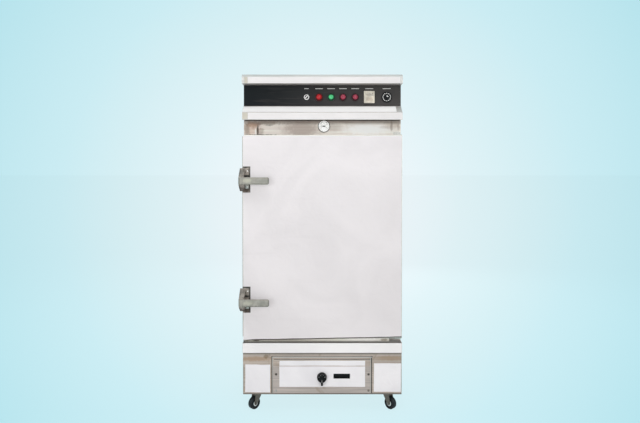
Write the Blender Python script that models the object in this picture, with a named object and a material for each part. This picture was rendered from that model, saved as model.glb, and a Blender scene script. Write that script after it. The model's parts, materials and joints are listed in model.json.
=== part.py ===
"""Rice steamer cabinet on four swivel casters.

Metres, +Z up, the floor at z = 0, the front towards -Y and +X to the right seen from the front.
The cabinet is drawn from its own datum, the middle of the front frame's face at floor level, under
one empty. At the end that empty moves so that the box round the whole object is centred on the origin.
"""

import math

import bmesh
import bpy
from mathutils import Vector

# Fits and sheet metal
GAP = 0.0003
OVERRUN = 0.003
SHEET = 0.002
FRAME_SHEET = 0.003
THIN_PLATE = 0.003

# Main box
BODY_WIDTH = 0.700
BODY_DEPTH = 0.548
CASTER_HEIGHT = 0.077
BASE_HEIGHT = 0.1845
GUTTER_HEIGHT = 0.0445
SILL_STRIP = 0.021
DOOR_HEIGHT = 0.893
HEADER_STRIP = 0.067
HOOD_LIP = 0.0325
HOOD_RISE = 0.033
PANEL_HEIGHT = 0.093
CAP_LIP = 0.0405
FRONT_REACH = 0.050
BASE_SETBACK = 0.005
SIDE_RETURN = 0.018

# Door opening and cavity
STILE_WIDTH = 0.0435
DOOR_OVERLAP = 0.015
BACK_INSULATION = 0.0547
TOP_INSULATION = 0.040
STEAM_OPENING_SIDE = 0.040
STEAM_OPENING_END = 0.045

# Door
DOOR_CORNER = 0.016
GASKET_WIDTH = 0.010
GASKET_DEPTH = 0.008
GASKET_STANDOFF = 0.002
GASKET_LIP = 0.0025
HINGE_FROM_EDGE = 0.016
HINGE_PIN_RADIUS = 0.004
HINGE_PIN_REACH = 0.014
HINGE_LEAF_WIDTH = 0.030
HINGE_LEAF_REACH = 0.044
HINGE_FLANGE = 0.016
HINGE_END_MARGIN = 0.002
HINGE_PLAY = 0.0005

# Latches on the door's free edge
LATCH_HEIGHT_SHARES = (0.7813, 0.1904)
LATCH_NAMES = ("upper", "lower")
LATCH_PLATE_WIDTH = 0.033
LATCH_PLATE_HEIGHT = 0.113
LEVER_DROP = 0.005
LEVER_HEIGHT = 0.031
LEVER_THICKNESS = 0.009
LEVER_LENGTH = 0.1195
LEVER_CORNER = 0.007
LEVER_HUB_RADIUS = 0.0135
LATCH_PIN_STANDOFF = 0.0355
LATCH_PIN_RADIUS = 0.004
LATCH_PIN_INSET = 0.0005
CAM_RADIUS = 0.0245
CAM_START_DEG = 95
CAM_END_DEG = 125
EAR_THICKNESS = 0.003
EAR_PLAY = 0.0005
EAR_HALF_WIDTH = 0.011
EAR_MARGIN = 0.006
STRIKE_SHEET = 0.0025
STRIKE_HEIGHT = 0.026
STRIKE_STANDOFF = 0.0035
STRIKE_FOOT = 0.038
STRIKE_FOOT_START = 0.012
STRIKE_JOGGLE = 0.008
STRIKE_LIP = 0.0085
STRIKE_CLEARANCE = 0.0005

# Trays and racks
TRAY_SIDE_PLAY = 0.0042
TRAY_BACK_SPACE = 0.0483
TRAY_HEIGHT = 0.048
TRAY_RIM = 0.020
TRAY_SHEET = 0.0015
TRAY_TAPER = 0.004
TRAY_REST_FRONT = 0.045
TRAY_FLOOR_CLEARANCE = 0.010
LEVEL_COUNT = 12
LEVEL_HEADROOM = 0.0735
RUNNER_WIDTH = 0.020
RUNNER_THICKNESS = 0.002
RACK_FRONT = 0.023

# Water tank, heat and plumbing
TANK_SIDE_SPACE = 0.090
TANK_BACK_SPACE = 0.113
TANK_FRONT = 0.045
TANK_DEPTH = 0.105
TANK_RIM = 0.014
ELEMENT_RADIUS = 0.005
ELEMENT_FLOAT_SPACE = 0.0303
ELEMENT_SPACING = 0.140
ELEMENT_LIFT = 0.024
ELEMENT_PLATE_WIDTH = 0.176
ELEMENT_PLATE_HEIGHT = 0.036
ELEMENT_PLATE = 0.004
ELEMENT_CAP = 0.022
BURNER_RADIUS = 0.090
BURNER_BOSS_RADIUS = 0.034
BURNER_THICKNESS = 0.020
BURNER_BELOW_TANK = 0.045
BURNER_POST = 0.030
GAS_PIPE_RADIUS = 0.008
GAS_PIPE_FROM_SIDE = 0.110
GAS_INLET_RADIUS = 0.012
GAS_INLET_REACH = 0.024
GAS_VALVE_WIDTH = 0.036
GAS_VALVE_DEPTH = 0.034
DRAIN_FROM_WALL = 0.080
DRAIN_PIPE_RADIUS = 0.010
DRAIN_BORE_RADIUS = 0.007
DRAIN_BODY_RADIUS = 0.016
DRAIN_BODY_LENGTH = 0.036
DRAIN_BOSS_RADIUS = 0.009
DRAIN_BOSS_HEIGHT = 0.010
DRAIN_LIFT = 0.021
DRAIN_NUT_RADIUS = 0.017
NUT_THICKNESS = 0.007
DRAIN_STEM_RADIUS = 0.0035
DRAIN_STEM_REACH = 0.007
DRAIN_LEVER_LENGTH = 0.062
DRAIN_LEVER_WIDTH = 0.013
FLOAT_FROM_WALL = 0.060
FLOAT_PIVOT_LIFT = 0.064
FLOAT_PIPE_RADIUS = 0.0065
FLOAT_VALVE_WIDTH = 0.022
FLOAT_VALVE_DEPTH = 0.026
FLOAT_EAR_THICKNESS = 0.004
FLOAT_EAR_LENGTH = 0.018
FLOAT_PIN_RADIUS = 0.002
FLOAT_EYE_RADIUS = 0.005
FLOAT_ROD_RADIUS = 0.002
FLOAT_ROD_LENGTH = 0.085
FLOAT_BALL_RADIUS = 0.022
FLOAT_DROOP_DEG = 12
FLOAT_NUT_RADIUS = 0.013
FLOAT_INLET_REACH = 0.018
VENT_RADIUS = 0.019
VENT_WALL = 0.0015
VENT_BELOW_TOP = 0.045
VENT_COLLAR_RADIUS = 0.028
VENT_REACH = 0.032
GLAND_FROM_SIDE = 0.080
GLAND_RISE = 0.343
GLAND_RADIUS = 0.012
GLAND_LENGTH = 0.018
GLAND_BORE_RADIUS = 0.005

# Control panel
CONTROL_RISE = 0.0395
SELECTOR_PLACE_SHARE = -0.2011
SELECTOR_RING_RADIUS = 0.0115
SELECTOR_KNOB_RADIUS = 0.0085
SELECTOR_POINTER_WIDTH = 0.0035
SELECTOR_POINTER_RAISE = 0.003
SELECTOR_REST_DEG = 45
LAMP_NAMES = ("heating_lamp", "ready_lamp", "water_low_lamp", "power_lamp")
LAMP_PLACE_SHARES = (-0.042, 0.112, 0.2634, 0.4189)
LAMP_RADII = (0.0185, 0.0170, 0.0165, 0.0165)
LAMP_LENS_RADII = (0.0140, 0.0120, 0.0130, 0.0130)
LAMP_LENS_HEIGHT = 0.009
BEZEL_HEIGHT = 0.004
SWITCH_NECK_RADIUS = 0.0105
SWITCH_NECK_LENGTH = 0.034
CONTROLLER_PLACE_SHARE = 0.5971
CONTROLLER_WIDTH = 0.047
CONTROLLER_HEIGHT = 0.053
CONTROLLER_FRONT = 0.008
CONTROLLER_BODY = 0.043
CONTROLLER_DEPTH = 0.066
CONTROLLER_WINDOW_WIDTH = 0.037
CONTROLLER_WINDOW_HEIGHT = 0.015
CONTROLLER_WINDOW_RISE = 0.012
CONTROLLER_RECESS = 0.0012
TIMER_PLACE_SHARE = 0.8194
TIMER_SKIRT_RADIUS = 0.0235
TIMER_GRIP_RADIUS = 0.0120
TIMER_SKIRT_HEIGHT = 0.005
TIMER_GRIP_HEIGHT = 0.014
KNOB_SHAFT_RADIUS = 0.003
KNOB_SHAFT_LENGTH = 0.018
KNOB_BEVEL = 0.0015
PANEL_TOP_LAP = 0.028
SHELF_DEPTH = 0.200
BOARD_FRONT = 0.004
BOARD_SIDE_SPACE = 0.030
BOARD_LENGTH = 0.180
TIMER_BODY_WIDTH = 0.040
TIMER_BODY_DEPTH = 0.036
CONTACTOR_WIDTH = 0.056
CONTACTOR_LENGTH = 0.070
CONTACTOR_HEIGHT = 0.078
CONTACTOR_PLACE_SHARE = -0.343
CONTACTOR_Y = 0.100
TERMINAL_WIDTH = 0.130
TERMINAL_LENGTH = 0.028
TERMINAL_HEIGHT = 0.026
TERMINAL_PLACE_SHARE = 0.2286

# Thermometer on the header
THERMOMETER_X = 0.0076
THERMOMETER_RISE = 0.042
THERMOMETER_RADIUS = 0.0243
THERMOMETER_DEPTH = 0.012
THERMOMETER_RIM = 0.002
THERMOMETER_RECESS = 0.005
THERMOMETER_STEM_RADIUS = 0.004
THERMOMETER_STEM_LENGTH = 0.050
NEEDLE_REST_DEG = 90
NEEDLE_LENGTH = 0.016
NEEDLE_TAIL = 0.005
NEEDLE_WIDTH = 0.0016
NEEDLE_THICKNESS = 0.0008
NEEDLE_HUB_RADIUS = 0.003
NEEDLE_SPINDLE_RADIUS = 0.001

# Top cap and hood
CAP_CHAMFER = 0.011
HOOD_BACK_FLANGE = 0.050
HOOD_SIDE_LAP = 0.001

# Base front, access cover and gas knob
COVER_FROM_SIDE = 0.1316
COVER_SEAM_SHARE = 0.6824
COVER_FRAME_SHARE = 0.8618
COVER_EDGE_GAP = 0.0015
COVER_BOTTOM_RAIL = 0.004
COVER_SEAT = 0.012
SEAM_GROOVE = 0.0016
SEAM_DEPTH = 0.0015
SCREW_FROM_EDGE = 0.0144
SCREW_HEIGHT_SHARES = (0.4808, 0.0905)
SCREW_HEAD_RADIUS = 0.0035
SCREW_HEAD_HEIGHT = 0.0018
GAS_KNOB_X = -0.0017
GAS_KNOB_HEIGHT_SHARE = 0.4141
GAS_KNOB_RADIUS = 0.022
GAS_KNOB_LENGTH = 0.020
GAS_KNOB_GRIP_WIDTH = 0.009
GAS_KNOB_GRIP_HEIGHT = 0.007
GAS_KNOB_TAB_REACH = 0.037
GAS_KNOB_TAB_THICKNESS = 0.006
GAS_SHAFT_RADIUS = 0.004
GAS_SHAFT_HOLE = 0.0065
GAS_SOCKET_DEPTH = 0.012
SLOT_LEFT_SHARE = 0.2289
SLOT_RIGHT_SHARE = 0.5577
SLOT_HEIGHT_SHARE = 0.4374
SLOT_TALL = 0.0195
SLOT_CORNER = 0.003
AIR_OPENING_WIDTH = 0.360
AIR_OPENING_LENGTH = 0.300
PAN_FLANGE = 0.022

# Casters
CASTER_INSET = 0.058
CASTER_FRONT_Y = 0.000
CASTER_PAD = 0.050
CASTER_PAD_THICKNESS = 0.003
RACE_RADIUS = 0.020
RACE_HEIGHT = 0.005
KINGPIN_RADIUS = 0.005
KINGPIN_RISE = 0.006
WHEEL_RADIUS = 0.027
WHEEL_WIDTH = 0.022
WHEEL_BEVEL = 0.003
WHEEL_DISH = 0.003
WHEEL_RIM = 0.006
HUB_RADIUS = 0.008
AXLE_RADIUS = 0.003
AXLE_HEAD_RADIUS = 0.0055
AXLE_HEAD = 0.002
CASTER_TRAIL = 0.018
FORK_SHEET = 0.0025
FORK_SIDE_PLAY = 0.0008
FORK_HALF_LENGTH = 0.016
FORK_EYE_RADIUS = 0.008
CASTER_HEADINGS_DEG = {"front_left": -135, "front_right": -45, "rear_left": 60, "rear_right": 120}

# Faceting
KNOB_SIDES = 32
WHEEL_SIDES = 32
SMALL_SIDES = 16
PIPE_SIDES = 12
HEX_SIDES = 6
CORNER_STEPS = 5
SHARPEST_MITRE_SHARE = 0.5
SHARP_DEG = 30

# Levels and planes that follow from the sizes above
HALF_WIDTH = BODY_WIDTH / 2
GUTTER_BOTTOM = CASTER_HEIGHT + BASE_HEIGHT
GUTTER_TOP = GUTTER_BOTTOM + GUTTER_HEIGHT
DOOR_BOTTOM = GUTTER_TOP + SILL_STRIP
DOOR_TOP = DOOR_BOTTOM + DOOR_HEIGHT
LATCH_HEIGHTS = tuple(DOOR_BOTTOM + share * DOOR_HEIGHT for share in LATCH_HEIGHT_SHARES)
HOOD_BOTTOM = DOOR_TOP + HEADER_STRIP
HOOD_EDGE = HOOD_BOTTOM + HOOD_LIP
PANEL_BOTTOM = HOOD_EDGE + HOOD_RISE
CAP_BOTTOM = PANEL_BOTTOM + PANEL_HEIGHT
BODY_TOP = CAP_BOTTOM + CAP_LIP
CONTROL_HEIGHT = PANEL_BOTTOM + CONTROL_RISE
THERMOMETER_HEIGHT = DOOR_TOP + THERMOMETER_RISE
SELECTOR_X = SELECTOR_PLACE_SHARE * HALF_WIDTH
LAMP_PLACES = tuple(share * HALF_WIDTH for share in LAMP_PLACE_SHARES)
CONTROLLER_X = CONTROLLER_PLACE_SHARE * HALF_WIDTH
TIMER_X = TIMER_PLACE_SHARE * HALF_WIDTH
CONTACTOR_X = CONTACTOR_PLACE_SHARE * HALF_WIDTH
TERMINAL_X = TERMINAL_PLACE_SHARE * HALF_WIDTH
BASE_FRONT = -(FRONT_REACH - BASE_SETBACK)
COVER_HALF_WIDTH = HALF_WIDTH - COVER_FROM_SIDE
COVER_SEAM_HEIGHT = CASTER_HEIGHT + COVER_SEAM_SHARE * BASE_HEIGHT
COVER_FRAME_TOP = CASTER_HEIGHT + COVER_FRAME_SHARE * BASE_HEIGHT
SCREW_X = COVER_HALF_WIDTH - SCREW_FROM_EDGE
SCREW_HEIGHTS = tuple(CASTER_HEIGHT + share * BASE_HEIGHT for share in SCREW_HEIGHT_SHARES)
GAS_KNOB_HEIGHT = CASTER_HEIGHT + GAS_KNOB_HEIGHT_SHARE * BASE_HEIGHT
SLOT_HEIGHT = CASTER_HEIGHT + SLOT_HEIGHT_SHARE * BASE_HEIGHT
SLOT_LEFT = SLOT_LEFT_SHARE * COVER_HALF_WIDTH
SLOT_RIGHT = SLOT_RIGHT_SHARE * COVER_HALF_WIDTH
OPENING_HALF = HALF_WIDTH - STILE_WIDTH
OPENING_BOTTOM = DOOR_BOTTOM + DOOR_OVERLAP
OPENING_TOP = DOOR_TOP - DOOR_OVERLAP
CAVITY_FRONT = FRAME_SHEET + GAP
CAVITY_BACK = BODY_DEPTH - BACK_INSULATION
SIDE_INNER = HALF_WIDTH - SHEET
BACK_PANEL_OUT = BODY_DEPTH - SHEET - GAP
BACK_PANEL_IN = BACK_PANEL_OUT - SHEET
LINER_OUT = OPENING_HALF + SHEET
DOOR_FRONT = -FRONT_REACH
DOOR_BACK = -(GASKET_DEPTH + GAP + GAP)
HINGE_X = HALF_WIDTH - HINGE_FROM_EDGE
HINGE_Y = (DOOR_FRONT + DOOR_BACK) / 2
LATCH_X = LATCH_PIN_INSET - HALF_WIDTH
LATCH_Y = DOOR_FRONT - LATCH_PIN_STANDOFF
RACK_WALL = OPENING_HALF - GAP
RUNNER_EDGE = RACK_WALL - RUNNER_THICKNESS - RUNNER_WIDTH
FIRST_RIM = OPENING_BOTTOM + TRAY_FLOOR_CLEARANCE + TRAY_HEIGHT
LEVEL_SPACING = (OPENING_TOP - LEVEL_HEADROOM - FIRST_RIM) / (LEVEL_COUNT - 1)
FILLED_LEVELS = range(1, LEVEL_COUNT - 1, 2)
TRAY_HALF = RACK_WALL - RUNNER_THICKNESS - TRAY_SIDE_PLAY
TRAY_BACK = CAVITY_BACK - TRAY_BACK_SPACE
TANK_HALF = HALF_WIDTH - TANK_SIDE_SPACE
TANK_TOP = OPENING_BOTTOM - SHEET - GAP
TANK_BOTTOM = TANK_TOP - TANK_DEPTH
TANK_BACK = BODY_DEPTH - TANK_BACK_SPACE
TANK_MIDDLE = (TANK_FRONT + TANK_BACK) / 2
PAN_TOP = CASTER_HEIGHT + SHEET
PAN_SEAT = PAN_TOP + GAP
VENT_Z = OPENING_TOP - VENT_BELOW_TOP
ELEMENT_NEAR_Y = TANK_MIDDLE - ELEMENT_SPACING / 2
ELEMENT_Z = TANK_BOTTOM + ELEMENT_LIFT
DRAIN_X = TANK_HALF - DRAIN_FROM_WALL
DRAIN_Z = TANK_BOTTOM + DRAIN_LIFT
DRAIN_BOSS_TOP = DRAIN_Z + DRAIN_BODY_RADIUS + DRAIN_BOSS_HEIGHT
DRAIN_STEM_Y = BODY_DEPTH + GAP + NUT_THICKNESS + DRAIN_BODY_LENGTH / 2
FLOAT_X = FLOAT_FROM_WALL - TANK_HALF
FLOAT_Z = TANK_BOTTOM + FLOAT_PIVOT_LIFT
FLOAT_Y = TANK_BACK - SHEET - FLOAT_VALVE_DEPTH - FLOAT_EAR_LENGTH / 2
PAD_BOTTOM = CASTER_HEIGHT - CASTER_PAD_THICKNESS
RACE_BOTTOM = PAD_BOTTOM - RACE_HEIGHT
SHELF_TOP = PANEL_BOTTOM + GAP + SHEET
GAS_PIPE_X = GAS_PIPE_FROM_SIDE - HALF_WIDTH
GAS_SHAFT_REACH = FRAME_SHEET + SHEET + GAS_SOCKET_DEPTH - OVERRUN
AIR_FRONT = TANK_MIDDLE - AIR_OPENING_LENGTH / 2
GLAND_X = HALF_WIDTH - GLAND_FROM_SIDE
GLAND_Z = CASTER_HEIGHT + GLAND_RISE
CASTER_X = HALF_WIDTH - CASTER_INSET
CASTER_BACK_Y = BODY_DEPTH - CASTER_INSET

STEEL = ((0.62, 0.57, 0.53), 0.32, 1.0)
FILM_WHITE = ((0.86, 0.86, 0.86), 0.35, 0.0)
BLACK_PANEL = ((0.05, 0.05, 0.06), 0.35, 0.0)
BLACK_PLASTIC = ((0.02, 0.02, 0.02), 0.4, 0.0)
RED_LENS = ((0.65, 0.03, 0.03), 0.2, 0.0)
GREEN_LENS = ((0.05, 0.55, 0.16), 0.2, 0.0)
DARK_RED_LENS = ((0.30, 0.03, 0.06), 0.25, 0.0)
CREAM_PLASTIC = ((0.80, 0.74, 0.63), 0.4, 0.0)
WHITE_ENAMEL = ((0.85, 0.85, 0.83), 0.3, 0.0)
LATCH_METAL = ((0.38, 0.38, 0.34), 0.35, 1.0)
DARK_STEEL = ((0.16, 0.14, 0.13), 0.4, 1.0)
BRIGHT_STEEL = ((0.75, 0.75, 0.76), 0.25, 1.0)
BRASS = ((0.66, 0.50, 0.22), 0.35, 1.0)
CAST_IRON = ((0.09, 0.09, 0.09), 0.7, 0.6)
ROCK_WOOL = ((0.60, 0.52, 0.30), 0.9, 0.0)
FOAM = ((0.75, 0.68, 0.45), 0.9, 0.0)
SILICONE = ((0.55, 0.56, 0.56), 0.6, 0.0)
RUBBER = ((0.03, 0.03, 0.03), 0.6, 0.0)
LAMP_FINISHES = (RED_LENS, GREEN_LENS, DARK_RED_LENS, DARK_RED_LENS)


def mesh_of(bm, name="shape"):
    """Turn a bmesh into a mesh whose faces point outwards."""
    bmesh.ops.recalc_face_normals(bm, faces=bm.faces)
    mesh = bpy.data.meshes.new(name)
    bm.to_mesh(mesh)
    bm.free()
    return mesh


def block(low, high):
    """A rectangular block between two corners."""
    bm = bmesh.new()
    corners = [
        bm.verts.new((x, y, z))
        for x in (low[0], high[0])
        for y in (low[1], high[1])
        for z in (low[2], high[2])
    ]
    for quad in ((0, 1, 3, 2), (4, 6, 7, 5), (0, 4, 5, 1), (2, 3, 7, 6), (0, 2, 6, 4), (1, 5, 7, 3)):
        bm.faces.new([corners[i] for i in quad])
    return mesh_of(bm)


def turned(profile, centre, direction, sides=KNOB_SIDES, ring=False):
    """Turn (radius, height) points round an axis through centre, heights along direction.

    A ring closes its profile on itself; any other profile is capped where it leaves the axis.
    """
    bm = bmesh.new()
    loops = []
    for radius, height in profile:
        if radius == 0:
            loops.append([bm.verts.new((0, 0, height))])
            continue
        angles = [2 * math.pi * i / sides for i in range(sides)]
        loops.append([bm.verts.new((radius * math.cos(a), radius * math.sin(a), height)) for a in angles])
    pairs = list(zip(loops, loops[1:]))
    if ring:
        pairs.append((loops[-1], loops[0]))
    for first, second in pairs:
        for i in range(sides):
            j = (i + 1) % sides
            corners = [first[i % len(first)], first[j % len(first)]]
            corners += [second[j % len(second)], second[i % len(second)]]
            bm.faces.new(list(dict.fromkeys(corners)))
    if not ring:
        for end in (loops[0], loops[-1]):
            if len(end) > 1:
                bm.faces.new(end)
    lean = Vector((0, 0, 1)).rotation_difference(Vector(direction)).to_matrix()
    bmesh.ops.rotate(bm, verts=bm.verts, matrix=lean)
    bmesh.ops.translate(bm, verts=bm.verts, vec=Vector(centre))
    return mesh_of(bm)


def rod(start, end, radius, sides=PIPE_SIDES):
    """A round bar between two points."""
    run = Vector(end) - Vector(start)
    return turned([(radius, 0), (radius, run.length)], start, run.normalized(), sides)


def prism(outline, plane, start, thickness, holes=()):
    """Extrude a flat outline, with holes, from start along the axis square to its plane."""
    bm = bmesh.new()
    axis = next(index for index, letter in enumerate("XYZ") if letter not in plane)
    edges = []
    for loop in (outline, *holes):
        verts = []
        for first, second in loop:
            place = [first, second]
            place.insert(axis, start)
            verts.append(bm.verts.new(place))
        edges += [bm.edges.new((verts[i - 1], verts[i])) for i in range(len(verts))]
    bmesh.ops.triangle_fill(bm, use_beauty=True, use_dissolve=False, edges=edges)
    grown = bmesh.ops.extrude_face_region(bm, geom=bm.faces[:])
    moved = [part for part in grown["geom"] if isinstance(part, bmesh.types.BMVert)]
    step = [0, 0, 0]
    step[axis] = thickness
    bmesh.ops.translate(bm, verts=moved, vec=step)
    return mesh_of(bm)


def rectangle(left, low, right, high, corners=(0, 0, 0, 0)):
    """Outline of a rectangle; corners holds a fillet each, anticlockwise from the low left one."""
    points = []
    places = ((left, low), (right, low), (right, high), (left, high))
    for index, (place, fillet) in enumerate(zip(places, corners)):
        if fillet == 0:
            points.append(place)
            continue
        inward = (1 if place[0] == left else -1, 1 if place[1] == low else -1)
        centre = (place[0] + inward[0] * fillet, place[1] + inward[1] * fillet)
        start = math.pi + index * math.pi / 2
        for step in range(CORNER_STEPS + 1):
            angle = start + step / CORNER_STEPS * math.pi / 2
            points.append((centre[0] + fillet * math.cos(angle), centre[1] + fillet * math.sin(angle)))
    return points


def circle(centre, radius, sides=SMALL_SIDES):
    """Outline of a circle."""
    angles = [2 * math.pi * i / sides for i in range(sides)]
    return [(centre[0] + radius * math.cos(a), centre[1] + radius * math.sin(a)) for a in angles]


def folded(line, thickness):
    """Outline of a sheet bent along a line, its thickness on the line's left."""
    normals = []
    for first, second in zip(line, line[1:]):
        run = Vector(second) - Vector(first)
        normals.append(Vector((-run.y, run.x)).normalized())
    offset = []
    for index, point in enumerate(line):
        before = normals[max(index - 1, 0)]
        after = normals[min(index, len(normals) - 1)]
        mitre = (before + after) / (1 + before.dot(after))
        offset.append(tuple(Vector(point) + mitre * thickness))
    return list(line) + offset[::-1]


def swept(route, radius, sides=PIPE_SIDES):
    """A round tube along a route of points, capped at both ends."""
    bm = bmesh.new()
    points = [Vector(point) for point in route]
    side = None
    loops = []
    for index, point in enumerate(points):
        ahead = points[min(index + 1, len(points) - 1)] - point
        behind = point - points[max(index - 1, 0)]
        along = (ahead.normalized() + behind.normalized()).normalized()
        if side is None:
            side = along.orthogonal().normalized()
        side = (side - along * side.dot(along)).normalized()
        up = along.cross(side)
        bend = 1.0
        if 0 < index < len(points) - 1:
            bend = 1 / max(math.cos(ahead.angle(behind) / 2), SHARPEST_MITRE_SHARE)
        turn_axis = behind.cross(ahead)
        loop = []
        for step in range(sides):
            angle = 2 * math.pi * step / sides
            spoke = side * math.cos(angle) + up * math.sin(angle)
            if turn_axis.length > 0 and bend > 1:
                inward = along.cross(turn_axis.normalized())
                spoke += inward * spoke.dot(inward) * (bend - 1)
            loop.append(bm.verts.new(point + spoke * radius))
        loops.append(loop)
    for first, second in zip(loops, loops[1:]):
        for i in range(sides):
            j = (i + 1) % sides
            bm.faces.new((first[i], first[j], second[j], second[i]))
    bm.faces.new(loops[0])
    bm.faces.new(loops[-1])
    return mesh_of(bm)


def fused(base, added=(), cut=()):
    """Join meshes to a base mesh, cut others from it, and return the one mesh that is left."""
    helpers = [bpy.data.objects.new("helper", mesh) for mesh in (base, *added, *cut)]
    for helper in helpers:
        bpy.context.scene.collection.objects.link(helper)
    kinds = ["UNION"] * len(added) + ["DIFFERENCE"] * len(cut)
    for helper, kind in zip(helpers[1:], kinds):
        step = helpers[0].modifiers.new(kind.lower(), "BOOLEAN")
        step.operation = kind
        step.solver = "EXACT"
        step.object = helper
    graph = bpy.context.evaluated_depsgraph_get()
    mesh = bpy.data.meshes.new_from_object(helpers[0].evaluated_get(graph))
    for helper in helpers:
        old = helper.data
        bpy.data.objects.remove(helper)
        bpy.data.meshes.remove(old)
    return mesh


def finish_for(name, look):
    """A Principled material with the colour, roughness and metallic value of a look."""
    colour, roughness, metallic = look
    material = bpy.data.materials.new(name + "_finish")
    material.use_nodes = True
    shader = material.node_tree.nodes["Principled BSDF"]
    shader.inputs["Base Color"].default_value = (*colour, 1)
    shader.inputs["Roughness"].default_value = roughness
    shader.inputs["Metallic"].default_value = metallic
    material.diffuse_color = (*colour, 1)
    return material


def anchor(name, place, parent):
    """An empty at a place given from the cabinet's datum."""
    empty = bpy.data.objects.new(name, None)
    bpy.context.scene.collection.objects.link(empty)
    attach(empty, place, parent)
    return empty


def attach(item, place, parent):
    """Parent an object and put its origin at a place given from the cabinet's datum."""
    item["datum"] = place
    if parent is None:
        item.location = place
        return
    item.parent = parent
    item.location = Vector(place) - Vector(parent["datum"])


def add_piece(name, mesh, look, parent, pivot=(0, 0, 0)):
    """Add one named solid, drawn from the datum, with its origin on its pivot."""
    mesh.name = name
    for vertex in mesh.vertices:
        vertex.co -= Vector(pivot)
    item = bpy.data.objects.new(name, mesh)
    bpy.context.scene.collection.objects.link(item)
    mesh.materials.clear()
    mesh.materials.append(finish_for(name, look))
    mesh.shade_smooth()
    mesh.set_sharp_from_angle(angle=math.radians(SHARP_DEG))
    attach(item, pivot, parent)
    return item


def side_panel(sign):
    """Outer side sheet with a return at the back that the back panel bears on."""
    line = [
        (HALF_WIDTH - SIDE_RETURN, BODY_DEPTH),
        (HALF_WIDTH, BODY_DEPTH),
        (HALF_WIDTH, FRAME_SHEET + GAP),
    ]
    outline = [(sign * x, y) for x, y in folded(line[::-1], SHEET)]
    top = BODY_TOP - SHEET - GAP
    return prism(outline, "XY", CASTER_HEIGHT, top - CASTER_HEIGHT)


def back_panel():
    """Rear sheet with its pipe holes and a cable gland."""
    reach = SIDE_INNER - GAP
    holes = [
        circle((0, VENT_Z), VENT_RADIUS + GAP, KNOB_SIDES),
        circle((DRAIN_X, DRAIN_Z), DRAIN_PIPE_RADIUS + GAP),
        circle((FLOAT_X, FLOAT_Z), FLOAT_PIPE_RADIUS + GAP),
        circle((GAS_PIPE_X, GAS_KNOB_HEIGHT), GAS_PIPE_RADIUS + GAP),
    ]
    outline = rectangle(-reach, PAN_TOP + GAP, reach, BODY_TOP - SHEET - GAP)
    sheet = prism(outline, "XZ", BACK_PANEL_IN, SHEET, holes)
    profile = [
        (0, GLAND_BORE_RADIUS - SHEET),
        (GLAND_BORE_RADIUS, GLAND_BORE_RADIUS - SHEET),
        (GLAND_BORE_RADIUS, GLAND_LENGTH),
        (GLAND_RADIUS - SHEET, GLAND_LENGTH),
        (GLAND_RADIUS, GLAND_LENGTH / 2),
        (GLAND_RADIUS, -SHEET / 2),
        (0, -SHEET / 2),
    ]
    gland = turned(profile, (GLAND_X, BACK_PANEL_OUT, GLAND_Z), (0, 1, 0), SMALL_SIDES)
    return fused(sheet, [gland])


def face_frame():
    """Front plate round the door opening, full width."""
    outline = rectangle(-HALF_WIDTH, GUTTER_BOTTOM, HALF_WIDTH, PANEL_BOTTOM - GAP)
    holes = [
        rectangle(-OPENING_HALF, OPENING_BOTTOM, OPENING_HALF, OPENING_TOP),
        circle((THERMOMETER_X, THERMOMETER_HEIGHT), THERMOMETER_STEM_RADIUS + GAP),
    ]
    return prism(outline, "XZ", 0, FRAME_SHEET, holes)


def inner_liner():
    """The cooking cavity, open at the front, with a steam opening in its floor and a vent hole."""
    shell = block(
        (-LINER_OUT, CAVITY_FRONT, OPENING_BOTTOM - SHEET),
        (LINER_OUT, CAVITY_BACK + SHEET, OPENING_TOP + SHEET),
    )
    hollow = block(
        (-OPENING_HALF, CAVITY_FRONT - OVERRUN, OPENING_BOTTOM), (OPENING_HALF, CAVITY_BACK, OPENING_TOP)
    )
    half = TANK_HALF - STEAM_OPENING_SIDE
    steam = block(
        (-half, TANK_FRONT + STEAM_OPENING_END, OPENING_BOTTOM - SHEET - OVERRUN),
        (half, TANK_BACK - STEAM_OPENING_END, OPENING_BOTTOM + OVERRUN),
    )
    vent = rod(
        (0, CAVITY_BACK - OVERRUN, VENT_Z),
        (0, CAVITY_BACK + SHEET + OVERRUN, VENT_Z),
        VENT_RADIUS + GAP,
        KNOB_SIDES,
    )
    return fused(shell, cut=[hollow, steam, vent])


def insulation_jacket():
    """Mineral wool round both sides, the back and the top of the liner."""
    side = SIDE_INNER - GAP
    outer = block(
        (-side, CAVITY_FRONT, OPENING_BOTTOM - SHEET),
        (side, BACK_PANEL_IN - GAP, OPENING_TOP + SHEET + TOP_INSULATION),
    )
    room = block(
        (-LINER_OUT - GAP, CAVITY_FRONT - OVERRUN, OPENING_BOTTOM - SHEET - OVERRUN),
        (LINER_OUT + GAP, CAVITY_BACK + SHEET + GAP, OPENING_TOP + SHEET + GAP),
    )
    vent = rod((0, CAVITY_BACK, VENT_Z), (0, BODY_DEPTH, VENT_Z), VENT_RADIUS + GAP, KNOB_SIDES)
    return fused(outer, cut=[room, vent])


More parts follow.
